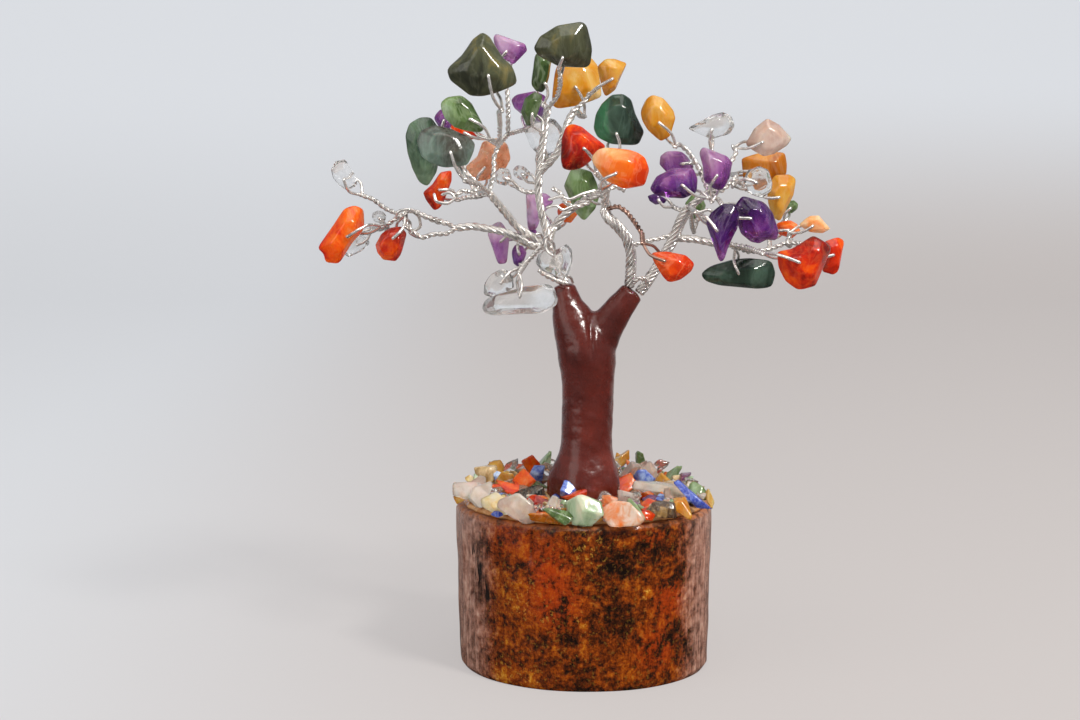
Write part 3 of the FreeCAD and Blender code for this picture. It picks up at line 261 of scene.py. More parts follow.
egg = [100, 0, 72, 72, 0, 100, -72, 75, -100, 5, -70, -72, 0, -100, 75, -70]
slab = [95, 60, 10, 100, -75, 90, -100, 10, -85, -70, 15, -95, 100, -75]
nugget = [90, 50, 25, 100, -60, 80, -100, 0, -65, -85, 30, -100, 100, -40]
stick = [92, 75, 0, 100, -90, 85, -100, -10, -80, -90, 10, -100, 100, -50]
crown_chips = {name: Chip(*row) for name, row in {
    "quartz_tip": ("quartz_left", (344, 175), 0.1, (34, 23), -52, 10, 0.7, -48, 0.2, (0.1, 0, 0),
        [-28, -100, 33, -98, 90, -70, 100, 31, 67, 82, -12, 86, -71, 100, -100, 13, -75, -68]),
    "quartz_bead": ("quartz_left", (379, 217), 0.22, (16, 14), 10, 0, 0.85, -60, 0.1, (0, 0, 0), egg),
    "quartz_flake": ("quartz_left", (354, 245), 0.3, (30, 22), 35, 15, 0.45, 42, 0.2, (0, 0, 0), slab),
    "rod": ("carnelian_rod", (343, 235), -0.15, (67, 38), 66, 10, 0.8, 12, 0.1, (0.17, 0.06, 30),
        [-78, 54, -100, 30, -88, -43, -15, -62, 53, -100, 100, -58, 99, 7, 77, 51, -68, 100]),
    "dark_red": ("carnelian_dark", (391, 243), -0.12, (32, 38), -10, 0, 0.72, 62, 0.3, (-0.04, 0.12, 200),
        [-79, -67, -34, -100, 50, -96, 93, -30, 100, 61, 51, 100, -23, 87, -75, 37, -100, -26]),
    "moss_bean": ("moss_agate_bean", (423, 152), -0.42, (73, 38), 88, 15, 0.6, -22, 0.3, (0, 0.16, 200),
        [-4, 86, -49, 57, -88, 17, -100, -32, -57, -79, 10, -100, 71, -83, 100, -41, 99, 23, 79, 81, 45,
         100]),
    "grey_slab": ("grey_agate_slab", (447, 147), -0.78, (64, 44), -4, -12, 0.48, -62, 0.3, (0.02, 0.16, 250),
        [-79, -70, -49, -100, 4, -98, 73, -79, 93, -30, 100, 18, 77, 52, 8, 89, -45, 100, -87, 73, -100, 19]),
    "violet_tip": ("amethyst_upper_left", (444, 119), 0.15, (21, 22), 60, 0, 0.7, -80, 0.1, (0.06, 0.1, 90),
        [-100, -4, -78, -100, -2, -94, 100, -13, 63, 77, -41, 100]),
    "lilac_tip": ("amethyst_upper_left", (508, 47), 0.2, (38, 26), -35, 10, 0.6, -100, 0.2, (0.22, 0.1, 100),
        [-50, -70, 19, -100, 82, -89, 100, 66, 67, 100, -100, 30, -99, -5]),
    "leaf": ("aventurine_leaf", (463, 115), -0.08, (52, 31), -40, -10, 0.5, -42, 0.3, (-0.05, 0.2, 200),
        [-81, -67, -47, -98, 6, -100, 55, -66, 100, -13, 100, 45, 2, 100, -66, 96, -96, 32, -100, -35]),
    "red_bit": ("carnelian_upper_left", (463, 132), 0.36, (32, 18), -8, 0, 0.75, -15, 0.1, (0.02, 0.1, 90),
        stick),
    "red_low": ("carnelian_upper_left", (437, 188), 0.08, (46, 24), 68, 10, 0.7, -30, 0.1, (0, 0.12, 60),
        [-69, 56, -100, -50, -74, -100, -22, -100, 56, -97, 100, -62, 71, 22, 8, 51, -42, 100]),
    "peach": ("peach_aventurine", (487, 160), 0.42, (52, 39), 20, 0, 0.6, -105, 0.3, (0.24, 0.08, 120),
        [-61, -92, -12, -100, 50, -85, 91, -39, 100, 36, 81, 90, 8, 100, -31, 37, -100, 0]),
    "olive_kite": ("olive_jasper_kite", (483, 64), -0.62, (76, 67), 0, -8, 0.52, -68, 0.4, (0.01, 0.1, 60),
        [-91, -51, -35, -98, 1, -100, 55, -98, 91, -79, 100, -42, 89, -14, 55, 19, 18, 86, -2, 100, -28, 77,
         -58, 27, -100, -16]),
    "slip_high": ("aventurine_slips", (541, 71), 0.16, (44, 20), 78, 20, 0.8, -85, 0.5, (-0.1, 0.08, 90),
        [-75, 73, -98, 16, -100, -83, -21, -100, 76, -83, 100, 26, 77, 100]),
    "slip_low": ("aventurine_slips", (530, 109), -0.12, (37, 20), 62, 0, 0.7, -62, 0.3, (-0.02, 0.06, 90),
        [-100, -63, -77, -100, 10, -92, 100, -63, 100, 43, 41, 100, -37, 73]),
    "violet_top": ("amethyst_centre", (531, 108), 0.42, (36, 38), 15, 10, 0.65, -105, 0.2, (0.02, 0.12, 160),
        [-96, 24, -66, -17, 39, -100, 82, -32, 100, 42, 47, 87, -58, 100, -100, 70]),
    "olive_slab": ("olive_jasper_slab", (563, 47), -0.3, (61, 49), 6, 10, 0.5, -95, 0.4, (-0.01, 0.14, 120),
        [-88, -26, -18, -82, 76, -100, 92, -86, 100, -26, 88, 82, 73, 100, -13, 93, -75, 56, -100, 9]),
    "yellow_big": ("yellow_quartz_top", (573, 82), 0.46, (57, 52), 10, -10, 0.5, -72, 0.3, (0.08, 0.14, 0),
        [-100, -71, -70, -97, 8, -100, 94, -79, 100, 45, 81, 84, 19, 100, -47, 89]),
    "yellow_small": ("yellow_quartz_top", (613, 75), 0.02, (36, 38), 20, 10, 0.6, -140, 0.1, (0.08, 0.08, 60),
        [-100, -59, -80, -100, -15, -83, 100, 34, 41, 80, -16, 100, -68, 87]),
    "quartz_mid": ("quartz_centre", (542, 138), 0.57, (46, 43), -10, 0, 0.6, -90, 0.2, (0.1, 0, 0),
        [-46, -51, -13, -76, 64, -100, 100, -44, 88, 60, 40, 100, -59, 91, -100, 44]),
    "quartz_cube": ("quartz_centre", (521, 173), 0.14, (18, 15), -20, 0, 0.8, -32, 0.1, (0, 0, 0), slab),
    "quartz_ghost": ("quartz_centre", (503, 177), 0.1, (20, 20), 60, 0, 0.6, -35, 0.1, (0, 0, 0), egg),
    "red": ("carnelian_centre", (581, 145), -0.62, (50, 48), 15, -10, 0.6, -62, 0.3, (-0.12, 0.26, 60),
        [-100, -79, -73, -96, -36, -100, -4, -93, 100, -35, 23, 77, -11, 100, -45, 96, -69, 53, -97, -38]),
    "orange": ("orange_agate_centre", (619, 167), -0.95, (64, 42), -20, 10, 0.62, -128, 0.2, (0, 0.36, 150),
        [-27, -86, 69, -100, 100, -62, 96, 41, 69, 88, 41, 100, 10, 98, -85, 60, -100, -10]),
    "green_tip": ("aventurine_centre", (581, 194), 0.34, (57, 37), -82, 0, 0.55, -18, 0.1, (0.12, 0.12, 200),
        [63, -46, 100, -5, 61, 69, 21, 100, -29, 97, -77, 75, -100, 14, -95, -64, -57, -100]),
    "green_egg": ("green_agate_egg", (617, 124), 0.14, (59, 50), -62, 0, 0.65, -98, 0.4, (0, 0.36, 180),
        [14, -100, 53, -67, 100, 8, 97, 44, 70, 86, 1, 87, -53, 100, -84, 81, -100, 37, -88, -19, -65, -60,
         -27, -94]),
    "yellow_tip": ("yellow_quartz_right_tip", (658, 118), -0.05, (49, 36), -82, 10, 0.55, -58, 0.2,
        (0.02, 0.08, 120),
        [-3, -95, 48, -74, 100, 0, 84, 56, 12, 100, -22, 98, -81, 46, -100, -13, -84, -73, -49, -100]),
    "quartz_pear": ("quartz_right", (711, 126), 0.1, (50, 30), 178, 0, 0.7, -88, 0.2, (0, 0, 0),
        [65, 62, 9, 100, -80, 49, -100, -7, -82, -74, -46, -100, -1, -75, 100, 22]),
    "quartz_ring": ("quartz_right", (759, 182), 0.04, (32, 34), 50, 0, 0.6, 188, 0.2, (0, 0, 0),
        [-100, -8, -65, -79, 4, -100, 53, -69, 100, 3, 80, 63, 10, 100, -57, 82]),
    "rose": ("rose_quartz_tip", (769, 140), 0.22, (40, 38), -28, 0, 0.6, 192, 0.3, (0.06, 0.06, 60),
        [-39, -100, 15, -95, 58, -52, 98, 20, 100, 67, 3, 100, -63, 99, -97, 16, -100, -82]),
    "yellow_back": ("yellow_quartz_right", (764, 171), 0.66, (48, 41), 0, 0, 0.5, 186, 0.3, (-0.18, 0.08, 90),
        [-86, -80, -44, -100, 27, -89, 51, -52, 98, -17, 100, 31, 89, 94, -56, 100, -100, 83]),
    "yellow_low": ("yellow_quartz_right", (779, 197), 0.36, (50, 30), 80, 10, 0.6, 168, 0.2,
        (0.14, 0.12, 240),
        [-37, 65, -89, 16, -100, -39, 19, -100, 88, -98, 100, -43, 87, 55, 29, 100]),
    "violet_kite": ("amethyst_kite", (717, 168), -0.12, (49, 34), -82, 0, 0.65, -98, 0.3, (0.12, 0.26, 120),
        [-17, -85, 47, -89, 91, -29, 100, 12, 46, 72, -15, 100, -43, 74, -100, -75, -80, -100]),
    "violet_banded": ("amethyst_banded", (674, 184), -0.48, (54, 32), 5, -10, 0.7, -22, 0.3,
        (-0.05, 0.3, 100),
        [-79, -55, -29, -86, 32, -100, 88, -65, 100, 23, 80, 95, -5, 100, -66, 59, -100, -7]),
    "violet_back": ("amethyst_right_back", (677, 162), 0.34, (37, 26), 8, 0, 0.7, -22, 0.2, (0.1, 0.1, 90),
        [-61, -77, 20, -100, 100, -59, 78, 21, 36, 83, -57, 100, -90, 64, -100, 0]),
    "violet_speck": ("amethyst_right_back", (657, 199), 0.16, (21, 12), 0, 0, 0.85, -25, 0.1, (-0.06, 0, 0),
        [-74, -35, -15, -100, 81, -74, 100, -3, -15, 100, -100, 68]),
    "violet_tear": ("amethyst_tear", (722, 233), -0.52, (61, 35), -92, 10, 0.6, 142, 0.2, (-0.13, 0.24, 250),
        [100, -7, 97, 18, 40, 45, -18, 90, -64, 100, -100, 74, -100, -4, -68, -74, -33, -100]),
    "violet_low": ("amethyst_right_low", (757, 221), -0.14, (57, 42), -38, 0, 0.65, 155, 0.3,
        (-0.1, 0.3, 290),
        [-60, -66, -18, -100, 31, -99, 58, -80, 72, -38, 100, -20, 90, 22, 26, 81, -30, 100, -100, 52, -99,
         -4]),
    "orange_far": ("orange_agate_right", (789, 229), 0.42, (24, 22), 10, 0, 0.8, 205, 0.1, (-0.06, 0.08, 90),
        [-97, -45, -1, -100, 100, -45, 77, 35, 5, 100, -100, 71]),
    "peach_tip": ("orange_agate_right", (815, 224), 0.18, (36, 19), -8, 0, 0.8, 200, 0.2, (0.34, 0.08, 90),
        [-26, -100, 82, -83, 100, -37, 13, 100, -50, 79, -100, -29]),
    "red_big": ("carnelian_right", (807, 263), -0.42, (51, 59), -70, 0, 0.6, 168, 0.3, (-0.06, 0.1, 200),
        [-22, -100, 44, -93, 96, -65, 100, 2, -21, 97, -77, 100, -100, 60, -77, -37, -87, -88]),
    "red_back": ("carnelian_right_tip", (833, 255), -0.04, (41, 22), 84, 10, 0.7, 158, 0.2, (-0.04, 0.08, 0),
        [8, 85, -89, 84, -100, -26, -78, -81, 75, -100, 100, -5, 66, 100]),
    "green_loaf": ("green_agate_loaf", (738, 273), 0.1, (78, 34), -4, 10, 0.7, 98, 0.2, (-0.08, 0.14, 200),
        [-85, -63, -44, -88, 66, -100, 94, -68, 100, 15, 86, 92, 30, 100, -20, 84, -75, 32, -100, -22]),
    "orange_wedge": ("orange_agate_hanging", (673, 267), -0.52, (46, 33), 0, 0, 0.6, 142, 0.4,
        (-0.32, 0.06, 180),
        [-88, 35, -28, -100, 39, -84, 82, -26, 100, 21, 56, 76, -28, 100, -100, 91]),
    "teal": ("aventurine_right_back", (695, 208), 0.66, (29, 22), 82, 0, 0.7, -92, 0.2, (0, 0, 0), nugget),
    "green_far": ("aventurine_right_back", (790, 207), 0.7, (18, 14), 20, 0, 0.8, -110, 0.1, (0, 0, 0), egg),
    "violet_inner": ("amethyst_centre", (538, 208), 0.46, (38, 40), 25, 0, 0.7, -58, 0.2, (0.24, 0.12, 90),
        [-90, -15, -100, -88, -59, -100, -4, -47, 100, -2, 78, 48, 5, 100, -39, 89]),
    "violet_bit": ("amethyst_centre", (531, 235), 0.52, (16, 13), 30, 0, 0.8, -25, 0.1, (0, 0, 0), egg),
    "violet_drop": ("amethyst_left_drops", (498, 242), 0.32, (46, 24), 82, 0, 0.75, 22, 0.2, (0.28, 0.2, 90),
        [-100, -27, -90, -100, 43, -94, 100, 7, 72, 84, 29, 100]),
    "violet_leaf": ("amethyst_left_drops", (519, 255), 0.1, (23, 17), 108, 0, 0.7, 68, 0.1, (0.02, 0.14, 30),
        [-60, 100, -100, 61, -73, -24, -3, -100, 72, -81, 100, 6, 55, 77]),
    "clear_chunk": ("quartz_lower_left", (555, 259), -0.52, (38, 38), -20, 0, 0.7, 112, 0.3, (0, 0, 0),
        [-44, -86, 10, -87, 47, -100, 96, -88, 100, -43, 99, 16, 68, 81, 30, 100, -7, 54, -59, 44, -98, -4,
         -100, -56]),
    "clear_round": ("quartz_lower_left", (498, 285), -0.32, (36, 27), 40, 0, 0.7, 38, 0.2, (0, 0, 0),
        [-100, 14, -72, -51, -13, -93, 59, -100, 96, -29, 100, 32, 87, 92, 7, 100, -56, 77]),
    "clear_prism": ("quartz_lower_left", (520, 299), -0.66, (79, 38), -4, 0, 0.75, 92, 0.2, (0, 0, 0),
        [-92, -93, -66, -100, 67, -69, 92, -40, 100, 3, 91, 78, 76, 100, 8, 71, -89, -9, -100, -60]),
    "amber_far": ("orange_agate_back", (567, 212), 0.72, (24, 22), 60, 0, 0.75, -125, 0.1, (0, 0, 0), nugget),
}.items()}

# Profiles of a chip: its outline's share of its full size, at a share of half its thickness
chip_profile = [(0.5, -1.0), (0.92, -0.45), (1.0, 0.1), (0.5, 1.0)]
small_chip_profile = [(0.6, -1.0), (1.0, -0.1), (0.55, 1.0)]

# Wires, node by node. One stretch is named for the chip that its twig ends in a loop through, or else
# for its thickness, and then has its bends as picture point and depth.
left_mouth = (564, 283, 0)
left_hub = (549, 246, 0)
right_mouth_inner = (629, 287, 0)
right_mouth_outer = (639, 293, 0)
inner_hub = (605, 209, 0)
outer_hub = (690, 207, 0)
high_hub = (709, 193, 0)
far_hub = (735, 178, 0.12)
low_hub = (730, 244, -0.04)
wire_runs = {
    "stem_left": [
        ("bundle", left_mouth, (556, 265, 0), left_hub),
    ],
    "stem_right_inner": [
        ("bundle", right_mouth_inner, (631, 268, -0.02), (631, 252, -0.04), (627, 238, -0.05),
         (617, 225, -0.05), (607, 217, -0.03), inner_hub),
        ("branch", inner_hub, (605, 198, -0.08), (607, 187, -0.14)),
        ("red", (607, 187, -0.14), (603, 181, -0.36)),
        ("orange", (607, 187, -0.14), (603, 190, -0.45)),
        ("green_egg", (607, 187, -0.14), (612, 168, 0)),
        ("green_tip", inner_hub, (608, 207, 0.18)),
        ("twig", (631, 246, -0.045), (647, 241, 0.02), (662, 238, 0.04), (676, 233, 0.03)),
    ],
    "twig_hanging": [
        ("orange_wedge", inner_hub, (618, 206, -0.1), (626, 211, -0.16), (634, 221, -0.22),
         (642, 233, -0.32)),
    ],
    "stem_right_outer": [
        ("bundle", right_mouth_outer, (648, 281, 0.01), (657, 267, 0.02), (666, 252, 0.03), (674, 238, 0.03),
         (680, 222, 0.02), outer_hub),
        ("branch", outer_hub, (699, 199, 0), high_hub),
    ],
    "branch_left_high": [
        ("branch", left_hub, (534, 238, 0.08), (516, 226, 0.08), (504, 211, 0.02), (489, 193, -0.08)),
        ("grey_slab", (489, 193, -0.08), (478, 184, -0.34)),
        ("moss_bean", (478, 184, -0.34), (469, 176, -0.38)),
        ("peach", (489, 193, -0.08), (484, 192, 0.16)),
        ("red_low", (489, 193, -0.08), (477, 197, 0), (466, 197, 0.04)),
        ("violet_tip", (477, 197, 0), (468, 175, 0.12), (456, 152, 0.14)),
        ("twig", (489, 193, -0.08), (494, 172, -0.05), (494, 156, 0), (499, 145, 0)),
        ("olive_kite", (499, 145, 0), (500, 124, -0.2), (499, 112, -0.42)),
        ("violet_top", (499, 145, 0), (508, 134, 0.2)),
        ("lilac_tip", (508, 134, 0.2), (508, 106, 0.16), (507, 86, 0.18)),
        ("leaf", (499, 145, 0), (497, 142, -0.04)),
        ("red_bit", (499, 145, 0), (492, 141, 0.2)),
        ("violet_drop", (516, 226, 0.08), (519, 231, 0.2)),
    ],
    "branch_left_low": [
        ("branch", left_hub, (533, 247, -0.08), (519, 239, -0.1), (505, 232, -0.08), (490, 229, -0.05),
         (473, 226, 0), (457, 228, 0)),
        ("twig", (457, 228, 0), (444, 222, 0.05), (428, 217, 0.06), (412, 210, 0.04), (401, 215, 0)),
        ("twig", (457, 228, 0), (447, 234, -0.06), (434, 234, -0.08), (422, 238, -0.08), (412, 231, -0.05),
         (401, 215, 0)),
        ("quartz_tip", (401, 215, 0), (386, 209, 0.04), (373, 199, 0.07)),
        ("rod", (401, 215, 0), (387, 225, -0.02), (378, 227, -0.08)),
        ("dark_red", (401, 215, 0), (406, 221, -0.06)),
        ("quartz_bead", (387, 225, -0.02), (387, 227, 0.1)),
        ("quartz_flake", (387, 225, -0.02), (381, 229, 0.14)),
        ("violet_leaf", (519, 239, -0.1), (524, 238, 0)),
    ],
    "twigs_quartz": [
        ("clear_chunk", left_hub, (545, 241, -0.25)),
        ("clear_prism", (545, 241, -0.25), (535, 254, -0.3), (526, 263, -0.4)),
        ("clear_round", (526, 263, -0.4), (521, 264, -0.37)),
    ],
    "branch_centre": [
        ("branch", left_hub, (546, 230, 0), (541, 211, 0), (538, 192, 0), (539, 172, 0), (541, 155, 0),
         (544, 135, 0), (545, 122, 0), (548, 108, 0)),
        ("olive_slab", (548, 108, 0), (557, 97, -0.06), (560, 86, -0.16)),
        ("slip_high", (548, 108, 0), (543, 104, 0.1)),
        ("slip_low", (544, 135, 0), (541, 133, -0.06)),
        ("quartz_mid", (541, 155, 0), (545, 158, 0.25)),
        ("quartz_cube", (538, 192, 0), (538, 187, 0.06)),
        ("quartz_ghost", (538, 192, 0), (525, 192, 0.04)),
        ("violet_inner", (546, 230, 0), (549, 228, 0.22)),
        ("violet_bit", (546, 238, 0), (546, 241, 0.26)),
        ("branch", (539, 172, 0), (549, 163, -0.02), (558, 152, -0.06), (564, 134, -0.06), (569, 120, 0),
         (575, 110, 0.04)),
        ("yellow_big", (575, 110, 0.04), (580, 116, 0.24)),
        ("yellow_small", (575, 110, 0.04), (585, 101, 0.04)),
        ("branch", left_hub, (553, 228, 0.1), (563, 216, 0.12), (575, 207, 0.12), (590, 197, 0.05),
         (605, 191, -0.11)),
        ("amber_far", (556, 224, 0.1), (559, 227, 0.4)),
    ],
    "branch_right_high": [
        ("yellow_tip", high_hub, (703, 178, 0.04), (697, 165, 0.05), (688, 151, 0.02), (679, 144, 0)),
        ("quartz_pear", high_hub, (716, 178, 0.14), (713, 160, 0.12)),
        ("rose", high_hub, (721, 180, 0.16), (730, 164, 0.16), (737, 151, 0.2)),
        ("violet_kite", high_hub, (711, 199, -0.05)),
        ("violet_back", (703, 178, 0.04), (705, 171, 0.18)),
        ("violet_banded", high_hub, (706, 196, -0.24)),
    ],
    "branch_right_mid": [
        ("twig", high_hub, (722, 191, 0.08), far_hub),
        ("yellow_back", far_hub, (737, 175, 0.34)),
        ("yellow_low", far_hub, (747, 190, 0.24)),
        ("quartz_ring", far_hub),
        ("violet_low", high_hub, (718, 199, 0)),
        ("violet_speck", outer_hub, (680, 210, 0.08)),
        ("teal", outer_hub, (692, 226, 0.34)),
        ("violet_tear", outer_hub, (694, 211, -0.26)),
    ],
    "branch_right_low": [
        ("branch", (674, 238, 0.03), (694, 239, 0), (713, 243, -0.02), low_hub),
        ("red_big", low_hub, (747, 247, -0.12)),
        ("green_loaf", low_hub),
        ("twig", low_hub, (748, 252, 0.06), (768, 250, 0.12), (786, 243, 0.14)),
        ("red_back", (786, 243, 0.14), (798, 243, 0.08)),
        ("orange_far", (768, 250, 0.12), (770, 246, 0.28)),
        ("peach_tip", (786, 243, 0.14), (789, 239, 0.16)),
        ("green_far", (786, 243, 0.14), (790, 246, 0.45), (791, 238, 0.66)),
    ],
}

# Stones of the bed from the front, anticlockwise, ring by ring from the rim inwards
bed_stones = [
    ("green rose green carnelian jasper rose lapis rose quartz yellow quartz amethyst green quartz rose "
     "yellow lapis carnelian quartz green rose quartz yellow jasper rose carnelian quartz yellow quartz rose "
     "yellow quartz carnelian quartz").split(),
    ("quartz rose amethyst carnelian lapis green yellow jasper yellow rose carnelian quartz green lapis "
     "quartz carnelian jasper yellow carnelian quartz lapis green quartz jasper carnelian").split(),
    ("lapis carnelian quartz carnelian green lapis rose quartz jasper green lapis carnelian quartz jasper "
     "carnelian rose").split(),
]


def linear(code):
    """Linear colour of an sRGB hex code: each channel over 12.92 where dark, else a power of 2.4."""
    shares = [int(code[place:place + 2], 16) / 255.0 for place in (1, 3, 5)]
    return tuple(share / 12.92 if share <= 0.04045 else ((share + 0.055) / 1.055) ** 2.4
                 for share in shares)


def unit(vectors):
    """The vectors divided by their lengths."""
    return vectors / np.maximum(np.linalg.norm(vectors, axis=-1, keepdims=True), 1e-9)


def sight_line(pixel):
    """Direction of the sight line through a picture point, one millimetre deep per step."""
    across = (pixel[0] / picture_centre_pixel[0] - 1.0) * math.tan(half_view_angle)
    rise = (picture_centre_pixel[1] - pixel[1]) / picture_centre_pixel[0] * math.tan(half_view_angle)
    ahead = math.cos(view_tilt) + rise * math.sin(view_tilt)
    climb = rise * math.cos(view_tilt) - math.sin(view_tilt)
    return np.array([across / ahead, 1.0, climb / ahead])


def spot(pixel, back_share):
    """Point of a sight line at a depth: the eye plus the line's direction times the distance."""
    return eye + sight_line(pixel) * (view_distance + back_share * crown_half_depth)


def level_spot(pixel, height):
    """Point where a sight line comes down to a height."""
    line = sight_line(pixel)
    return eye + line * ((height - eye[2]) / line[2])


def log_spot(pixel):
    """Point where a sight line meets the log's upright side: the nearer root of its circle."""
    line = sight_line(pixel)
    square, middle = line[:2] @ line[:2], eye[:2] @ line[:2]
    inside = middle ** 2 - square * (eye[:2] @ eye[:2] - (log_diameter / 2.0) ** 2)
    return eye + line * (-middle - math.sqrt(max(inside, 0.0))) / square


def pixel_size(pixel, back_share):
    """Length that one picture point covers at a spot."""
    return float(np.linalg.norm(spot((pixel[0] + 1, pixel[1]), back_share) - spot(pixel, back_share)))


def ripple(points, length, seed, waves=9):
    """Smooth uneven height from 0 to 1: a half plus the mean of sine waves of about one length, each
    in its own direction and phase."""
    draw = np.random.default_rng(seed)
    directions = unit(draw.normal(size=(waves, 3)))
    lengths = length * draw.uniform(0.7, 1.5, waves)
    phases = draw.uniform(0.0, math.tau, waves)
    turns = points @ (directions / lengths[:, None]).T * math.tau + phases
    return 0.5 + 0.5 * (np.sin(turns).mean(axis=-1) * math.sqrt(waves) / 2.0)


def axes_of(along, across):
    """Directions along, across and through a chip, as the rows that turn its own points."""
    return np.stack([along, across, np.cross(along, across)])


def around(count):
    """Evenly spaced turns of a full circle."""
    return math.tau * np.arange(count) / count


def circle(turns, reach=1.0):
    """Points of a circle at turns: the reach times cosine and sine."""
    return np.stack([reach * np.cos(turns), reach * np.sin(turns)], axis=-1)


def ball_turns(rows, columns):
    """Tilt from the pole and turn round it, for each point of a ball's grid."""
    return np.meshgrid(math.pi * (np.arange(rows) + 0.5) / rows, around(columns), indexing="ij")


def ring_shares(shares, turns):
    """Value between evenly spaced shares round a ring, blended by half a cosine wave."""
    shares = np.asarray(shares, float)
    place = np.mod(turns, 1.0) * len(shares)
    first = np.floor(place).astype(int) % len(shares)
    blend = 0.5 - 0.5 * np.cos(math.pi * (place - np.floor(place)))
    return shares[first] * (1.0 - blend) + shares[(first + 1) % len(shares)] * blend


def averaged(padded, half):
    """Hann-weighted means of each value and its neighbours on both sides, where all are there."""
    weights = np.hanning(2 * half + 3)[1:-1]
    return np.apply_along_axis(np.convolve, 0, padded, weights / weights.sum(), "valid")


def linked(name, data):
    """An object of this data, in the scene."""
    made = bpy.data.objects.new(name, data)
    bpy.context.scene.collection.objects.link(made)
    return made


def skin(grids):
    """Points, quads and triangles of closed grids. A grid is rings of points, each ring closed. A
    looped grid joins its last ring to its first, and any other has a fan at each end."""
    points, quads, fans, first = [], [], [], 0
    for rings, looped in grids:
        rows, columns = rings.shape[:2]
        row, column = np.arange(rows if looped else rows - 1)[:, None], np.arange(columns)
        here, above, beside = row * columns, (row + 1) % rows * columns, (column + 1) % columns
        quads.append(first + np.stack([here + column, here + beside, above + beside, above + column],
                                      axis=-1).reshape(-1, 4))
        points.append(rings.reshape(-1, 3))
        if not looped:
            start, top = first + rows * columns, first + (rows - 1) * columns
            points.append(np.stack([rings[0].mean(axis=0), rings[-1].mean(axis=0)]))
            fans.append(np.stack([np.full(columns, start), first + beside, first + column], axis=-1))
            fans.append(np.stack([np.full(columns, start + 1), top + column, top + beside], axis=-1))
            first += 2
        first += rows * columns
    return np.concatenate(points), np.concatenate(quads), np.concatenate(fans)


def smooth_mesh(name, points, faces, material):
    """An object in the scene, of points in millimetres and smooth-shaded faces."""
    mesh = bpy.data.meshes.new(name)
    mesh.from_pydata((points * MM).tolist(), [], faces)
    mesh.polygons.foreach_set("use_smooth", np.ones(len(faces), bool))
    mesh.materials.append(material)
    return linked(name, mesh)


def piece(name, grids, material, *nodes):
    """An object of closed grids, riding on the one body and standing for its nodes."""
    points, quads, fans = skin(grids)
    made = smooth_mesh(name, points, quads.tolist() + fans.tolist(), material)
    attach(made, "root")
    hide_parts(*nodes)
    return made


# Paths and wires

def length_along(path):
    """Running length of a path at each of its points."""
    return np.concatenate([[0.0], np.cumsum(np.linalg.norm(np.diff(path, axis=0), axis=1))])


def bent(points, step, bend_length, looped=False):
    """Smooth path along a polyline: points at even lengths, each the weighted mean of its neighbours
    within the bend length, with the path mirrored about its ends, or wrapped where it is a loop."""
    points = np.array(list(points) + [points[0]] if looped else points, float)
    lengths = length_along(points)
    places = np.linspace(0.0, lengths[-1], max(int(lengths[-1] / step), 3) + 1)
    path = np.stack([np.interp(places, lengths, points[:, axis]) for axis in range(3)], axis=-1)
    path = path[:-1] if looped else path
    half = min(max(int(bend_length / step / 2.0), 1), len(path) - 1)
    if looped:
        return averaged(np.concatenate([path[-half:], path, path[:half]]), half)
    before, after = 2.0 * path[0] - path[half:0:-1], 2.0 * path[-1] - path[-2:-half - 2:-1]
    return averaged(np.concatenate([before, path, after]), half)


def tangents(path, looped=False):
    """Unit directions along a path, from the neighbours of each point."""
    if looped:
        return unit(np.roll(path, -1, axis=0) - np.roll(path, 1, axis=0))
    return unit(np.gradient(path, axis=0))


def side_of(along):
    """Directions square to a path, from the axis that stays furthest from it."""
    clear = [np.linalg.norm(np.cross(along, axis), axis=1).min() for axis in np.eye(3)]
    return np.cross(along, np.eye(3)[int(np.argmax(clear))])


def rings_round(path, radii, beside, upward, turns):
    """Rings round a path: centre plus radius times the cosine of a turn across and its sine upward."""
    return path[:, None] + radii[..., None] * (beside[:, None] * np.cos(turns)[:, None]
                                               + upward[:, None] * np.sin(turns)[:, None])


def tube(path, radii, beside=None, looped=False):
    """A round wire along a path."""
    along = tangents(path, looped)
    beside = side_of(along) if beside is None else beside
    beside = unit(beside - (beside * along).sum(axis=1, keepdims=True) * along)
    radii = np.broadcast_to(radii, len(path))[:, None]
    return rings_round(path, radii, beside, np.cross(along, beside), around(wire_sides)), looped


def rod(path, diameter, beside=None):
    """A wire with domed ends: its radius is the circle's height over the distance to the nearer end."""
    lengths = length_along(path)
    near = np.minimum(np.minimum(lengths, lengths[-1] - lengths) / (diameter / 2.0) + 0.12, 1.0)
    return tube(path, diameter / 2.0 * np.sqrt(1.0 - (1.0 - near) ** 2), beside)


def rope(path, size, pitch, phase):
    """Strands wound round a path as helices: the path plus the lay radius times a turning direction,
    one turn in each pitch, evenly spread, and looser or tighter along the way."""
    strands, diameter, strand_diameter = ropes[size]
    along, length = tangents(path), length_along(path)
    beside = unit(side_of(along))
    upward = np.cross(along, beside)
    wander = strand_wander * np.sin(length / pitch * 1.7 + phase * 3.0)
    rods = []
    for strand in range(strands):
        turn = math.tau * (length / pitch + strand / strands) + phase + wander
        outward = beside * np.cos(turn)[:, None] + upward * np.sin(turn)[:, None]
        loose = 1.0 - strand_looseness * (0.5 + 0.5 * np.sin(length * 1.3 + phase + 2.4 * strand))
        lay = (diameter - strand_diameter) / 2.0 * loose
        rods.append(rod(path + outward * lay[:, None], strand_diameter, outward))
    return rods


# Chips

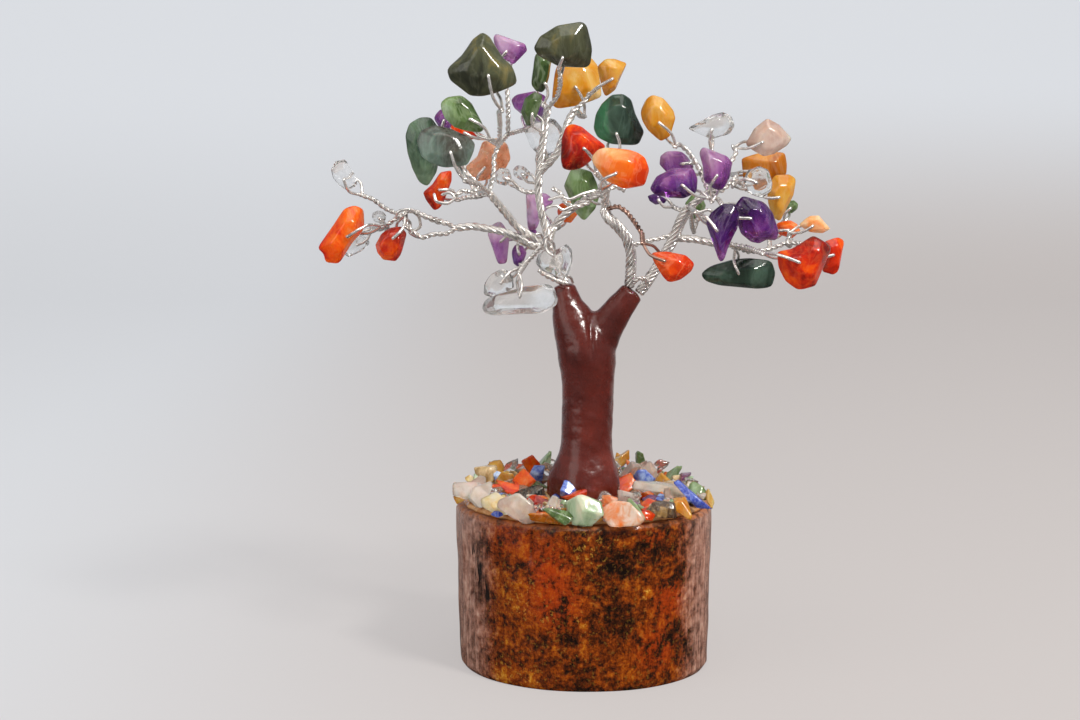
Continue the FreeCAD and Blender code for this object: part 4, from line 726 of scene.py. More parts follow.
def chip_axes(chip):
    """Unit vectors along, across and through a chip, turned as it hangs."""
    angle, turn = math.radians(chip.angle), math.radians(chip.turn)
    along = np.array([math.cos(angle), 0.0, math.sin(angle)])
    level = np.array([-math.sin(angle), 0.0, math.cos(angle)])
    return axes_of(along, level * math.cos(turn) + np.array([0.0, -1.0, 0.0]) * math.sin(turn))


def chip_halves(chip):
    """Half the length, width and thickness of a chip."""
    scale = pixel_size(chip.centre, chip.back) / 2.0
    return np.array([chip.size[0], chip.size[1], chip.size[1] * chip.thick]) * scale


def outline_corners(chip):
    """Corners of a chip's outline, along and across."""
    return np.reshape(chip.outline, (-1, 2)) / 100.0 * chip_halves(chip)[:2]


def chip_stem(chip):
    """Direction from a chip's centre to its wire, and how far the chip reaches that way."""
    along, across, _ = chip_axes(chip)
    angle = math.radians(chip.stem - chip.angle)
    outward = along * math.cos(angle) + across * math.sin(angle)
    return outward, float((outline_corners(chip) @ np.stack([along, across]) @ outward).max())


def twist_end(chip):
    """Point outside a chip where its two wire legs are twisted together."""
    outward, reach = chip_stem(chip)
    margin = wire_diameter + loop_clearance + twist_length
    return spot(chip.centre, chip.back) + outward * (reach * loop_reach_share + margin)


def chip_loop(chip, bow, wire):
    """The wire through a chip's hole: a smooth path along points of an ellipse round the chip's edge,
    from the twist out to the hole's mouth on each side, with each leg bowed sideways by an arc."""
    outward, reach = chip_stem(chip)
    through = chip_axes(chip)[2]
    sideways = np.cross(outward, through)
    clear = wire_diameter / 2.0 + loop_clearance
    long_half = reach * loop_reach_share + clear
    short_half = chip_halves(chip)[2] * loop_reach_share + clear
    mouth = math.acos(chip.hole * reach / long_half)
    bends = [spot(chip.centre, chip.back) + outward * (long_half * math.cos(mouth * share))
             + through * (short_half * math.sin(mouth * share))
             + sideways * (bow * math.sin(math.pi * share)) for share in loop_shares]
    path = bent([twist_end(chip)] + bends, loop_step, loop_bend, looped=True)
    return tube(path, wire / 2.0, np.broadcast_to(sideways, path.shape), looped=True)


def outline_radius(corners, turns):
    """Distance from a chip's middle to its outline in each direction: the furthest crossing of the ray
    with the outline's edges, averaged over its neighbours so that corners are rounded."""
    ways = circle(turns)[:, None]
    start, edge = corners[None], (np.roll(corners, -1, axis=0) - corners)[None]
    across = ways[..., 0] * edge[..., 1] - ways[..., 1] * edge[..., 0]
    across = np.where(np.abs(across) < 1e-9, 1e-9, across)
    reach = (start[..., 0] * edge[..., 1] - start[..., 1] * edge[..., 0]) / across
    place = (start[..., 0] * ways[..., 1] - start[..., 1] * ways[..., 0]) / across
    crossing = (place > -1e-6) & (place < 1.0 + 1e-6) & (reach > 0.0)
    radius = np.where(crossing, reach, 0.0).max(axis=1)
    half = max(int(len(turns) * corner_rounding / 720.0), 1)
    return averaged(np.concatenate([radius[-half:], radius, radius[:half]]), half)


def tumbled(chip, seed, crispness, rows=48, columns=80):
    """A tumbled chip as rings round its thickness: in each direction, the distance at which the chip's
    slanted profile, its two flats and a few shaved planes are met, joined by a power mean so that
    edges are rounded, less shallow uneven dents. The profile is scaled by the outline's radius."""
    halves = chip_halves(chip)
    tilt, turn = ball_turns(rows, columns)
    wide = outline_radius(outline_corners(chip), turn[0])
    flat, high = np.sin(tilt), -np.cos(tilt)
    # Half planes of the profile, across by the outline's radius and up by half the thickness
    steps = np.array(small_chip_profile if chip.size[0] < small_chip_pixels else chip_profile)
    low, top = steps[:-1], steps[1:]
    slants = np.stack([top[:, 1] - low[:, 1], low[:, 0] - top[:, 0]], axis=-1)
    slants = np.concatenate([slants / (slants * low).sum(axis=1)[:, None], [[0.0, 1.0], [0.0, -1.0]]])
    reach = [np.maximum(slant[0] * flat + slant[1] * high, 0.0) for slant in slants]
    spread = np.concatenate([circle(turn, wide * flat), (halves[2] * high)[..., None]], axis=-1)
    draw = np.random.default_rng(seed)
    planes = unit(draw.normal(size=(shaved_planes, 3)) / halves)
    rim = circle(turn[0], wide)
    solid = np.concatenate([np.concatenate([scale * rim, np.full((columns, 1), halves[2] * height)], axis=1)
                            for scale, height in steps])
    far = (solid @ planes.T).max(axis=0) * draw.uniform(*shave_shares, shaved_planes)
    reach += [np.maximum(spread @ plane, 0.0) / limit for plane, limit in zip(planes, far)]
    radius = (np.stack(reach) ** crispness).sum(axis=0) ** (-1.0 / crispness)
    ball = np.concatenate([circle(turn, flat), high[..., None]], axis=-1)
    wear = dent_share * ripple(ball, 1.6, seed) + dent_share * 0.3 * ripple(ball, 0.5, seed + 1)
    return spread * (radius * (1.0 - wear))[..., None]


def shades(rings, shift, slope, side):
    """Lightness of a chip's points within its stone: a shift plus a slope times the share of the way
    to the side that is paler, given as a direction in the picture."""
    points = np.concatenate([rings.reshape(-1, 3), [rings[0].mean(axis=0), rings[-1].mean(axis=0)]])
    pale_side = np.array([math.cos(math.radians(side)), 0.0, math.sin(math.radians(side))])
    way = (points - points.mean(axis=0)) @ pale_side
    return shift + slope * way / np.abs(way).max()


def chip_pieces(groups, ending, finish, fineness, clearness):
    """One object for each node's chips, with the lightness of each point kept for the stone's colours."""
    for node, parts in groups.items():
        slot = node_slots[node]
        material = bpy.data.materials.get(finish + slot) or stone_material(slot, finish, fineness, clearness)
        made = piece(node + ending, [(rings, False) for rings, _ in parts], material, node)
        layer = made.data.attributes.new("shade", "FLOAT", "POINT")
        layer.data.foreach_set("value", np.concatenate([share for _, share in parts]).astype(np.float32))


# Materials

def add(tree, kind, inputs=None, output=0, stops=(), **settings):
    """A node with its settings and inputs, each a value, a hex code or another node's socket, and a
    colour ramp's stops as places and hex codes. Gives the output that the next node takes."""
    node = tree.nodes.new("ShaderNode" + kind)
    for key, value in settings.items():
        setattr(node, key, value)
    for key, value in (inputs or {}).items():
        if isinstance(value, bpy.types.NodeSocket):
            tree.links.new(value, node.inputs[key])
        else:
            node.inputs[key].default_value = linear(value) + (1.0,) if isinstance(value, str) else value
    if stops:
        ramp = node.color_ramp.elements
        while len(ramp) < len(stops):
            ramp.new(0.5)
        for element, (place, code) in zip(ramp, stops):
            element.position = place
            element.color = linear(code) + (1.0,)
    return node.outputs[output] if node.outputs else None


def per_mm(length):
    """Scale of a pattern on coordinates in metres whose features are this many millimetres."""
    return 1.0 / (length * MM)


def new_material(name):
    """An empty node material, and its place in space."""
    material = bpy.data.materials.new(name)
    material.use_nodes = True
    material.node_tree.nodes.clear()
    return material, material.node_tree, add(material.node_tree, "TexCoord", output="Object")


def surface(tree, relief, strength, depth, sockets):
    """Ends a material: its relief as a bump of a depth in millimetres, and its shader."""
    bump = add(tree, "Bump", {"Height": relief, "Strength": strength, "Distance": depth * MM})
    add(tree, "OutputMaterial", {"Surface": add(tree, "BsdfPrincipled", {"Normal": bump, **sockets})})


def laid_over(tree, colour, second, value, reach, strength=(0.0, 1.0), gate=None):
    """A colour under a second one, whose strength changes smoothly while a value crosses its reach, and
    is scaled by a gate."""
    share = add(tree, "MapRange", {0: value, 1: reach[0], 2: reach[1], 3: strength[0], 4: strength[1]},
                interpolation_type="SMOOTHSTEP")
    if gate is not None:
        share = add(tree, "Math", {0: share, 1: gate}, operation="MULTIPLY")
    return add(tree, "Mix", {0: share, 6: colour, 7: second}, 2, data_type="RGBA")


def weighed(tree, base, *parts):
    """A number plus the sum of values, each times its weight."""
    for value, weight in parts:
        base = add(tree, "Math", {0: value, 1: weight, 2: base}, operation="MULTIPLY_ADD")
    return base


def patches(tree, place, spots):
    """Sum of soft round patches on the log's side: each falls from its strength at its picture point
    to nothing at its radius in millimetres."""
    total = 0.0
    for x, y, radius, share in spots:
        away = add(tree, "VectorMath", {0: place, 1: log_spot((x, y)) * MM}, "Value", operation="DISTANCE")
        patch = add(tree, "MapRange", {0: away, 1: radius * MM, 2: 0.15 * radius * MM, 3: 0.0, 4: share},
                    interpolation_type="SMOOTHSTEP")
        total = add(tree, "Math", {0: patch, 1: total}, operation="ADD")
    return total


# One stone: its colours from dark to pale, the size of its clouds and their stretch in millimetres,
# how much light passes straight through or is scattered inside, its gloss, and its pale seams
Stone = namedtuple("Stone", "stops cloud stretch passes scatters rough seam seam_share")

stones = {name: Stone(*row) for name, row in {
    # Rock crystal, tumbled: clear, with white veils that catch the light
    "clear_quartz": ([(0.2, "#d9d9d6"), (0.6, "#fbfbfb"), (0.9, "#ffffff")], 2.4, 1.0, 0.95, 0.0, 0.05,
        "#ffffff", 0.06),
    # Amethyst: violet zones that fade to colourless towards the root of the crystal
    "amethyst": ([(0.2, "#30084a"), (0.4, "#541874"), (0.54, "#863f94"), (0.68, "#b474b2"), (0.84, "#dcb8d6"),
        (1.0, "#f2e4ee")], 3.4, 1.8, 0.66, 0.2, 0.06, "#dcc2e2", 0.08),
    # Carnelian: chalcedony coloured by iron, glowing red-orange with darker clots
    "carnelian": ([(0.2, "#5e0802"), (0.38, "#a81604"), (0.5, "#dc3006"), (0.62, "#fa5c04"),
        (0.72, "#fc7c1c"), (0.82, "#f49a66"), (0.92, "#f0b896"), (1.0, "#f6dccb")], 2.4, 1.4, 0.42, 0.34,
        0.08, "#fb9a5c", 0.06),
    # Orange agate: milky orange with warm paler clouds
    "orange_agate": ([(0.2, "#c83204"), (0.36, "#e2500a"), (0.52, "#ee7418"), (0.7, "#f29a50"),
        (0.92, "#f8cca2")], 2.8, 1.3, 0.25, 0.45, 0.12, "#f8c08a", 0.08),
    # Yellow quartz: honey yellow, waxy, with clear lighter bands
    "yellow_quartz": ([(0.2, "#a05004"), (0.4, "#c8780c"), (0.56, "#d8921e"), (0.72, "#e0ae50"),
        (0.86, "#eacf96"), (1.0, "#f4e9d0")], 3.6, 2.2, 0.38, 0.34, 0.1, "#ecd4a6", 0.06),
    # Rose quartz: pale milky pink
    "rose_quartz": ([(0.2, "#b88f80"), (0.45, "#d0ae9f"), (0.64, "#dfc8b9"), (0.84, "#efe4d8"),
        (1.0, "#faf6ee")], 2.6, 1.4, 0.56, 0.28, 0.1, "#f3e6de", 0.1),
    # Green aventurine: quartz full of mica flakes, mid green with pale seams
    "aventurine": ([(0.2, "#2c3e1e"), (0.4, "#4a6034"), (0.56, "#6a844e"), (0.7, "#8aa476"),
        (0.84, "#b4c8a8"), (1.0, "#e2e0c4")], 3.0, 2.0, 0.3, 0.22, 0.09, "#c2d4ae", 0.1),
    # Green agate: deep bottle green, glossy, with lighter drifts
    "green_agate": ([(0.2, "#121a16"), (0.4, "#26362c"), (0.56, "#3e5446"), (0.72, "#3f7e54"),
        (0.86, "#62a276"), (1.0, "#9cc0a0")], 4.4, 2.6, 0.16, 0.18, 0.05, "#7e9c8c", 0.05),
    # Moss agate: green moss clouds in grey chalcedony
    "moss_agate": ([(0.2, "#1f2c22"), (0.4, "#36483a"), (0.56, "#526650"), (0.74, "#71866c"),
        (0.92, "#9aaa94")], 2.8, 2.0, 0.12, 0.2, 0.08, "#97a898", 0.06),
    # Grey agate: translucent grey-green with brown and violet drifts
    "grey_agate": ([(0.2, "#383430"), (0.38, "#4c4a42"), (0.54, "#5f6a62"), (0.74, "#779080"),
        (0.92, "#a8b6a8")], 3.2, 1.8, 0.35, 0.2, 0.05, "#a8b0a8", 0.06),
    # Olive jasper: opaque olive brown-green with a waxy polish
    "olive_jasper": ([(0.2, "#15160f"), (0.4, "#2d2f22"), (0.56, "#464833"), (0.7, "#6c6136"),
        (0.9, "#8a6f2c")], 3.2, 2.6, 0.0, 0.08, 0.09, "#8d8f7c", 0.04),
    # Peach aventurine: sandy peach orange with sparkling grains
    "peach_aventurine": ([(0.2, "#c0562c"), (0.4, "#e27a46"), (0.6, "#f29a6a"), (0.9, "#fac6a4")], 1.1, 1.2,
        0.3, 0.4, 0.2, "#f2c8a8", 0.1),
    # Lapis lazuli: ultramarine blue with white calcite patches
    "lapis": ([(0.2, "#141e58"), (0.42, "#2a3a94"), (0.6, "#4c62b4"), (0.78, "#93a8cc"), (1.0, "#dce4ea")],
        1.4, 1.5, 0.0, 0.05, 0.15, "#d4dce6", 0.06),
    # Jasper: opaque, near black through brown to cream
    "jasper": ([(0.2, "#171211"), (0.38, "#46301f"), (0.55, "#987848"), (0.74, "#cdb184"), (0.94, "#e4d4b8")],
        1.8, 1.8, 0.1, 0.15, 0.15, "#e8dcc0", 0.03),
}.items()}


def stone_material(name, finish, fineness, clearness):
    """Polished stone: clouds of its colours lightened by the chip's own shade, thin pale seams where
    a second cloud crosses its middle, a polish duller in places, and fine pits left by tumbling."""
    stone = stones[name]
    material, tree, place = new_material(finish + name)
    turned = add(tree, "Mapping", {"Vector": place, "Rotation": (0.5, 0.7, 0.3),
                                   "Scale": (fineness, fineness, fineness / stone.stretch)})
    # Each pattern: its coordinates, the length of its features, its detail, roughness and distortion
    cloud, seam, wear, pits = (
        add(tree, "TexNoise", {"Vector": where, "Scale": per_mm(length), "Detail": detail, "Roughness": rough,
                               "Distortion": bend})
        for where, length, detail, rough, bend in (
            (turned, stone.cloud, 6.0, 0.6, 0.7), (turned, stone.cloud * 1.3, 4.0, 0.55, 2.0),
            (place, 1.1, 4.0, 0.5, 0.0), (place, 0.8, 4.0, 0.6, 0.0)))
    lightness = add(tree, "Attribute", output="Fac", attribute_name="shade")
    level = add(tree, "Math", {0: cloud, 1: lightness}, operation="ADD")
    colour = add(tree, "ValToRGB", {"Fac": level}, stops=stone.stops)
    offset = add(tree, "Math", {0: seam, 1: 0.5}, operation="SUBTRACT")
    near = add(tree, "Math", {0: offset}, operation="ABSOLUTE")
    colour = laid_over(tree, colour, stone.seam, near, (0.0, 0.05), (stone.seam_share * 2.0 * fineness, 0.0))
    rough = add(tree, "MapRange", {0: wear, 1: 0.4, 2: 0.75, 3: stone.rough, 4: stone.rough * 2.0 + 0.04},
                interpolation_type="SMOOTHSTEP")
    surface(tree, pits, 0.3, 0.12, {
        "Base Color": colour, "Roughness": rough, "IOR": 1.544, "Subsurface Weight": stone.scatters,
        "Transmission Weight": min(stone.passes * clearness, 0.95), "Subsurface Scale": 1.4 * MM,
        "Subsurface Radius": (1.0, 0.55, 0.35)})
    return material


def wire_material(name, bright, dull, warm):
    """Drawn and twisted craft wire: bright metal, duller in places where it was gripped, with fine
    scratches along the way."""
    material, tree, place = new_material(name)
    handled = add(tree, "TexNoise", {"Vector": place, "Scale": per_mm(1.6), "Detail": 5.0, "Roughness": 0.65})
    scratch = add(tree, "TexNoise", {"Vector": place, "Scale": per_mm(0.12), "Detail": 2.0})
    surface(tree, scratch, 0.25, 0.02, {
        "Base Color": add(tree, "ValToRGB", {"Fac": handled},
                          stops=[(0.34, dull), (0.46, bright), (0.6, bright), (0.72, warm)]),
        "Roughness": add(tree, "MapRange", {0: handled, 1: 0.3, 2: 0.8, 3: 0.1, 4: 0.36}), "Metallic": 0.8})
    return material


def clay_material():
    """Moulded clay under glossy dark red-brown paint: even colour, soft lumps and a wet-looking gloss."""
    material, tree, place = new_material("painted_moulded_clay")
    tone = add(tree, "TexNoise", {"Vector": place, "Scale": per_mm(5.0), "Detail": 4.0})
    lumps = add(tree, "TexNoise", {"Vector": place, "Scale": per_mm(1.4), "Detail": 3.0, "Roughness": 0.55})
    surface(tree, lumps, 0.5, 0.3, {
        "Base Color": add(tree, "ValToRGB", {"Fac": tone}, stops=[
            (0.3, "#46140e"), (0.55, "#571d15"), (0.8, "#6c2a20")]),
        "Roughness": add(tree, "MapRange", {0: lumps, 1: 0.3, 2: 0.7, 3: 0.18, 4: 0.34}),
        "IOR": 1.5, "Coat Weight": 0.2, "Coat Roughness": 0.08})
    return material


def bark_material():
    """Varnished bark of a small branch: grains of near black, orange-brown and ochre that gather in patches,
    redder in places and cracked along the grain, with a painted pinkish grey sheen of grazing reflection on
    the flanks, streaked along the grain."""
    material, tree, place = new_material("varnished_bark")
    tall = add(tree, "Mapping", {"Vector": place, "Scale": (1.0, 1.0, 0.11)})
    # Each pattern: its coordinates, the length of its features, its detail, roughness and distortion
    grain, mottle, cloud, fibre, flecks, splits = (
        add(tree, "TexNoise", {"Vector": where, "Scale": per_mm(length), "Detail": detail, "Roughness": rough,
                               "Distortion": bend})
        for where, length, detail, rough, bend in (
            (place, 0.5, 3.0, 0.7, 0.0), (place, 1.3, 5.0, 0.68, 0.3), (place, 4.4, 4.0, 0.55, 0.4),
            (tall, 0.5, 6.0, 0.65, 0.0), (place, 0.55, 3.0, 0.6, 0.0), (tall, 0.5, 4.0, 0.6, 0.0)))
    dark, ochre, cracked, red = (patches(tree, place, spots) for spots in bark_patches.values())
    drift = weighed(tree, -0.4, (grain, 0.44), (mottle, 0.72), (cloud, 0.4), (fibre, 0.2), (dark, -0.11),
                    (ochre, 0.1))
    colour = add(tree, "ValToRGB", {"Fac": drift}, stops=[
        (0.28, "#100603"), (0.39, "#341504"), (0.48, "#602604"), (0.56, "#843a05"), (0.65, "#9c580a"),
        (0.78, "#cb942c")])
    # Redder inner bark, where the outer bark was rubbed thin
    colour = laid_over(tree, colour, "#982a02", drift, (0.36, 0.56), gate=red)
    # Yellow flecks, thicker where the bark is ochre
    colour = laid_over(tree, colour, "#c09034", flecks, (0.55, 0.7), gate=weighed(tree, 0.15, (ochre, 0.5)))
    # Painted sheen: the flanks turned from the camera are greyed pinkish as a grazing reflection, streaked
    # along the grain, with dark cracks on the left
    sideways = add(tree, "Math", {0: add(tree, "SeparateXYZ", {"Vector": place}, "X")}, operation="ABSOLUTE")
    reach = weighed(tree, 0.0, (sideways, 1.0), (cloud, 4.4 * MM), (mottle, 4.0 * MM))
    painted_flank_sheen = add(tree, "ValToRGB", {"Fac": weighed(tree, 0.0, (fibre, 0.52), (mottle, 0.48))}, stops=[
        (0.32, "#3c2018"), (0.42, "#7a5447"), (0.52, "#a27b6c"), (0.66, "#c6a898")])
    colour = laid_over(tree, colour, painted_flank_sheen, reach, (16.2 * MM, 20.2 * MM), (0.0, 0.85))
    colour = laid_over(tree, colour, "#1a100c", splits, (0.5, 0.43), gate=cracked)
    # Lighter orange-brown towards the upper rim
    rim = add(tree, "MapRange", {0: add(tree, "SeparateXYZ", {"Vector": place}, "Z"),
                                 1: (log_height - bark_rim_height) * MM, 2: (log_height - 0.3) * MM},
              interpolation_type="SMOOTHSTEP")
    colour = laid_over(tree, colour, "#a05a26", mottle, (0.4, 0.6), (0.15, 0.8), rim)
    polish = add(tree, "MapRange", {0: grain, 1: 0.35, 2: 0.65, 3: 0.1, 4: 0.22},
                 interpolation_type="SMOOTHSTEP")
    worn = add(tree, "Math", {0: rim, 1: mottle}, operation="MULTIPLY")
    surface(tree, weighed(tree, 0.0, (fibre, 1.0), (grain, 0.5), (mottle, 0.6)), 0.7, 0.2, {
        "Base Color": colour, "Roughness": add(tree, "Math", {0: polish, 1: worn}, operation="MAXIMUM"),
        "IOR": 1.5, "Specular IOR Level": 0.3, "Coat Weight": 0.1, "Coat Roughness": 0.05})
    return material


def glue_material():
    """Clear glue set over sawn wood: wet amber-brown gloss with milky patches."""
    material, tree, place = new_material("clear_glue_over_wood")
    cloud = add(tree, "TexNoise", {"Vector": place, "Scale": per_mm(2.0), "Detail": 5.0, "Roughness": 0.6})
    surface(tree, cloud, 0.5, 0.3, {
        "Base Color": add(tree, "ValToRGB", {"Fac": cloud}, stops=[
            (0.3, "#8a5228"), (0.5, "#b27844"), (0.65, "#c99a68"), (0.8, "#e0c8a4")]),
        "Roughness": add(tree, "MapRange", {0: cloud, 1: 0.3, 2: 0.7, 3: 0.08, 4: 0.25},
                         interpolation_type="SMOOTHSTEP"),
        "IOR": 1.49, "Coat Weight": 0.4, "Coat Roughness": 0.05})
    return material


def mirrored(tree):
    """1 where a ray comes from a mirroring surface, 0 where it comes through a clear stone."""
    return add(tree, "Math", {0: add(tree, "LightPath", output="Is Glossy Ray"),
                              1: add(tree, "LightPath", output="Is Transmission Ray")},
               operation="SUBTRACT", use_clamp=True)


def backdrop_material(wall, left, right):
    """Matt pale paper, with painted light and shade in its tones: lighter and cooler up the wall, darker and
    warmer on the floor's right.
    It is seen at a steady tone by the camera and through clear stones, with part of the lamps' light and of
    the tree's shadow. In reflections the floor in front is darker, as the room behind the camera is."""
    material, tree, place = new_material("matt_paper")
    sideways, depth, height = (add(tree, "SeparateXYZ", {"Vector": place}, axis) for axis in "XYZ")
    # Painted light and shade: the plain paper is cooler and lighter on the wall, and darker and warmer on the
    # floor's right
    tone = laid_over(tree, tuple(left) + (1.0,), tuple(right) + (1.0,), sideways, (-130.0 * MM, 10.0 * MM))
    tone = laid_over(tree, tone, tuple(wall) + (1.0,), height, (0.0, 90.0 * MM))
    darker = add(tree, "MapRange", {0: depth, 1: 0.0, 2: 260.0 * MM, 3: 0.12, 4: 0.85},
                 interpolation_type="SMOOTHSTEP")
    dimmed = add(tree, "Math", {0: mirrored(tree), 1: weighed(tree, -1.0, (darker, 1.0)), 2: 1.0},
                 operation="MULTIPLY_ADD")
    tone = add(tree, "Mix", {0: 1.0, 6: tone, 7: dimmed}, 2, data_type="RGBA", blend_type="MULTIPLY")
    seen = add(tree, "Math", {0: add(tree, "LightPath", output="Is Camera Ray"),
                              1: add(tree, "LightPath", output="Is Transmission Ray")}, operation="MAXIMUM")
    share = add(tree, "Math", {0: seen, 1: 0.78}, operation="MULTIPLY")
    blend = add(tree, "MixShader", {0: share, 1: add(tree, "BsdfDiffuse", {"Color": tone}),
                                    2: add(tree, "Emission", {"Color": tone})})
    add(tree, "OutputMaterial", {"Surface": blend})
    return material


# Settings

class GemTreeSizes(bpy.types.PropertyGroup):
    """Sizes of the wire, the bark and the bed that a user would change."""
    wire: FloatProperty(name="Wire", description="Diameter of one wire", default=wire_diameter * MM,
                        unit="LENGTH", precision=5)
    twig_pitch: FloatProperty(name="Twig twist", description="Length of one turn of a twisted pair",
                              default=1.7 * MM, unit="LENGTH", precision=5)
    branch_pitch: FloatProperty(name="Branch twist", description="Length of one turn of a branch",
                                default=4.4 * MM, unit="LENGTH", precision=5)
    bundle_pitch: FloatProperty(name="Bundle twist", description="Length of one turn of a bundle",
                                default=5.5 * MM, unit="LENGTH", precision=5)
    bark_depth: FloatProperty(name="Bark depth", description="Depth of the bark's furrows",
                              default=0.35 * MM, unit="LENGTH", precision=5)
    crispness: FloatProperty(name="Chip crispness", description="How sharp the chips' edges are left",
                             default=24.0, min=4.0, max=60.0)
    crumbs: IntProperty(name="Crumbs", description="Small crumbs between the chips of the bed",
                        default=170, min=0, max=600)


class GemTreeColours(bpy.types.PropertyGroup):
    """Colours that a user would change."""
    # The wall's lighter cool colour is painted light and the floor's darker warm right colour is painted
    # shade, on one plain paper
    wall: FloatVectorProperty(name="Wall", description="Colour of the paper behind the tree",
                              default=linear("#e1e4e9"), subtype="COLOR", min=0.0, max=1.0)
    floor_left: FloatVectorProperty(name="Floor left", description="Colour of the floor on the left",
                                    default=linear("#d8dade"), subtype="COLOR", min=0.0, max=1.0)
    floor_right_painted_shade: FloatVectorProperty(name="Floor right", description="Colour of the floor on the right",
                                     default=linear("#c9c3c1"), subtype="COLOR", min=0.0, max=1.0)
    lamp: FloatVectorProperty(name="Lamps", description="Colour of the lamps",
                              default=linear("#fffdf8"), subtype="COLOR", min=0.0, max=1.0)


# Operators

class GEMTREE_OT_log(bpy.types.Operator):
    """Log slice with furrowed bark, and the glue on top of it"""
    bl_idname = "gemtree.log"
    bl_label = "Log slice"

    def execute(self, context):
        log_slice(context.scene.gemtree_sizes.bark_depth / MM)
        glue_layer()
        return {"FINISHED"}


class GEMTREE_OT_trunk(bpy.types.Operator):
    """Moulded clay trunk with a root flare and two limbs"""
    bl_idname = "gemtree.trunk"
    bl_label = "Clay trunk"

    def execute(self, context):
        clay_trunk()
        return {"FINISHED"}


class GEMTREE_OT_wires(bpy.types.Operator):
    """Bundles, branches and twigs of twisted wire, and the loops through the chips"""
    bl_idname = "gemtree.wires"
    bl_label = "Wires"

    def execute(self, context):
        wire_branches(context.scene.gemtree_sizes)
        return {"FINISHED"}


class GEMTREE_OT_chips(bpy.types.Operator):
    """Tumbled chips of the crown"""
    bl_idname = "gemtree.chips"
    bl_label = "Crown chips"

    def execute(self, context):
        crown_stones(context.scene.gemtree_sizes.crispness)
        return {"FINISHED"}


class GEMTREE_OT_bed(bpy.types.Operator):
    """Small chips glued round the trunk's foot"""
    bl_idname = "gemtree.bed"
    bl_label = "Chip bed"

    def execute(self, context):
        sizes = context.scene.gemtree_sizes
        chip_bed(sizes.crispness * 0.9, sizes.crumbs)
        return {"FINISHED"}


class GEMTREE_OT_stage(bpy.types.Operator):
    """Pale floor and backdrop, soft lamps and the camera"""
    bl_idname = "gemtree.stage"
    bl_label = "Stage"

    def execute(self, context):
        colours = context.scene.gemtree_colours
        paper_backdrop(colours.wall, colours.floor_left, colours.floor_right_painted_shade)
        lamps(colours.lamp)
        camera()
        return {"FINISHED"}


class GEMTREE_PT_panel(bpy.types.Panel):
    """The tree's pieces, with their sizes and colours"""
    bl_idname = "GEMTREE_PT_panel"
    bl_label = "Gem tree"
    bl_space_type = "VIEW_3D"
    bl_region_type = "UI"
    bl_category = "Gem tree"

    def draw(self, context):
        for group in (context.scene.gemtree_sizes, context.scene.gemtree_colours):
            for name in group.bl_rna.properties.keys():
                if name not in {"rna_type", "name"}:
                    self.layout.prop(group, name)
        for operator in operators:
            self.layout.operator(operator.bl_idname)


operators = (GEMTREE_OT_stage, GEMTREE_OT_log, GEMTREE_OT_trunk, GEMTREE_OT_wires, GEMTREE_OT_chips,
             GEMTREE_OT_bed)
classes = (GemTreeSizes, GemTreeColours) + operators + (GEMTREE_PT_panel,)


def register():
    """Makes the classes known, and hangs the settings on the scene."""
    for kind in classes:
        bpy.utils.register_class(kind)
    bpy.types.Scene.gemtree_sizes = PointerProperty(type=GemTreeSizes)
    bpy.types.Scene.gemtree_colours = PointerProperty(type=GemTreeColours)


def unregister():
    """Takes the settings and the classes away again."""
    del bpy.types.Scene.gemtree_colours
    del bpy.types.Scene.gemtree_sizes
    for kind in reversed(classes):
        bpy.utils.unregister_class(kind)


# Pieces

def log_slice(bark_depth):
    """Log: rings whose radius follows the outline and the taper, less the bark's furrows. A furrow is
    a ripple that is long up the log and short round it, and the sawn faces run to the middle."""
    azimuth = around(log_columns)
    shares = ring_shares(log_outline_shares, (math.pi - azimuth) / math.tau)
    top, foot = log_diameter / 2.0, log_foot_diameter / 2.0
    side = np.linspace(log_edge, log_height - log_edge, log_side_rows)
    bevel, face = np.array([0.25, 0.6, 0.85]), np.linspace(0.06, 1.0, 9)
    heights = np.concatenate([0.0 * face, log_edge * bevel, side, log_height - log_edge * bevel[::-1],
                              np.full(len(face), log_height)])[:, None]
    radii = np.concatenate([(foot - log_edge) * face, foot - log_edge * (1.0 - bevel),
                            foot + (top - foot) * (side - log_edge) / (log_height - 2.0 * log_edge),
                            top - log_edge * (1.0 - bevel[::-1]), (top - log_edge) * face[::-1]])[:, None]
    place = np.stack(np.broadcast_arrays(np.cos(azimuth) * top, np.sin(azimuth) * top, heights), axis=-1)
    tall = place * np.array([1.0, 1.0, bark_squash])
    cracks = np.zeros(place.shape[:2])
    for turn, low, high, width in bark_cracks:
        gap = np.mod(np.degrees(azimuth) - turn + 180.0, 360.0) - 180.0 - 1.2 * np.sin(heights / 3.1 + turn)
        cracks = np.maximum(cracks, np.exp(-(gap / width) ** 2)
                            * np.exp(-((heights - (low + high) / 2.0) / (high - low) * 2.0) ** 4))
    frayed = np.exp(-((log_height - heights) / frayed_height) ** 2) * ripple(place, 1.3, 9, 14)
    depth = bark_depth * (0.55 * ripple(tall, 2.2, 3, 14) + 0.25 * ripple(tall, 0.8, 5, 14)
                          + 0.5 * ripple(place, 5.5, 7) + 0.9 * frayed) + crack_depth * cracks
    ends = np.clip(np.minimum(heights, log_height - heights) / log_edge, 0.0, 1.0)
    sunk = frayed_sink * np.clip((radii - 0.9 * top) / 1.2, 0.0, 1.0) * frayed
    rings = np.append(circle(azimuth, radii * shares - depth * ends), (heights - sunk)[..., None], axis=-1)
    piece("log_slice", [(rings, False)], bark_material(), "log_base")


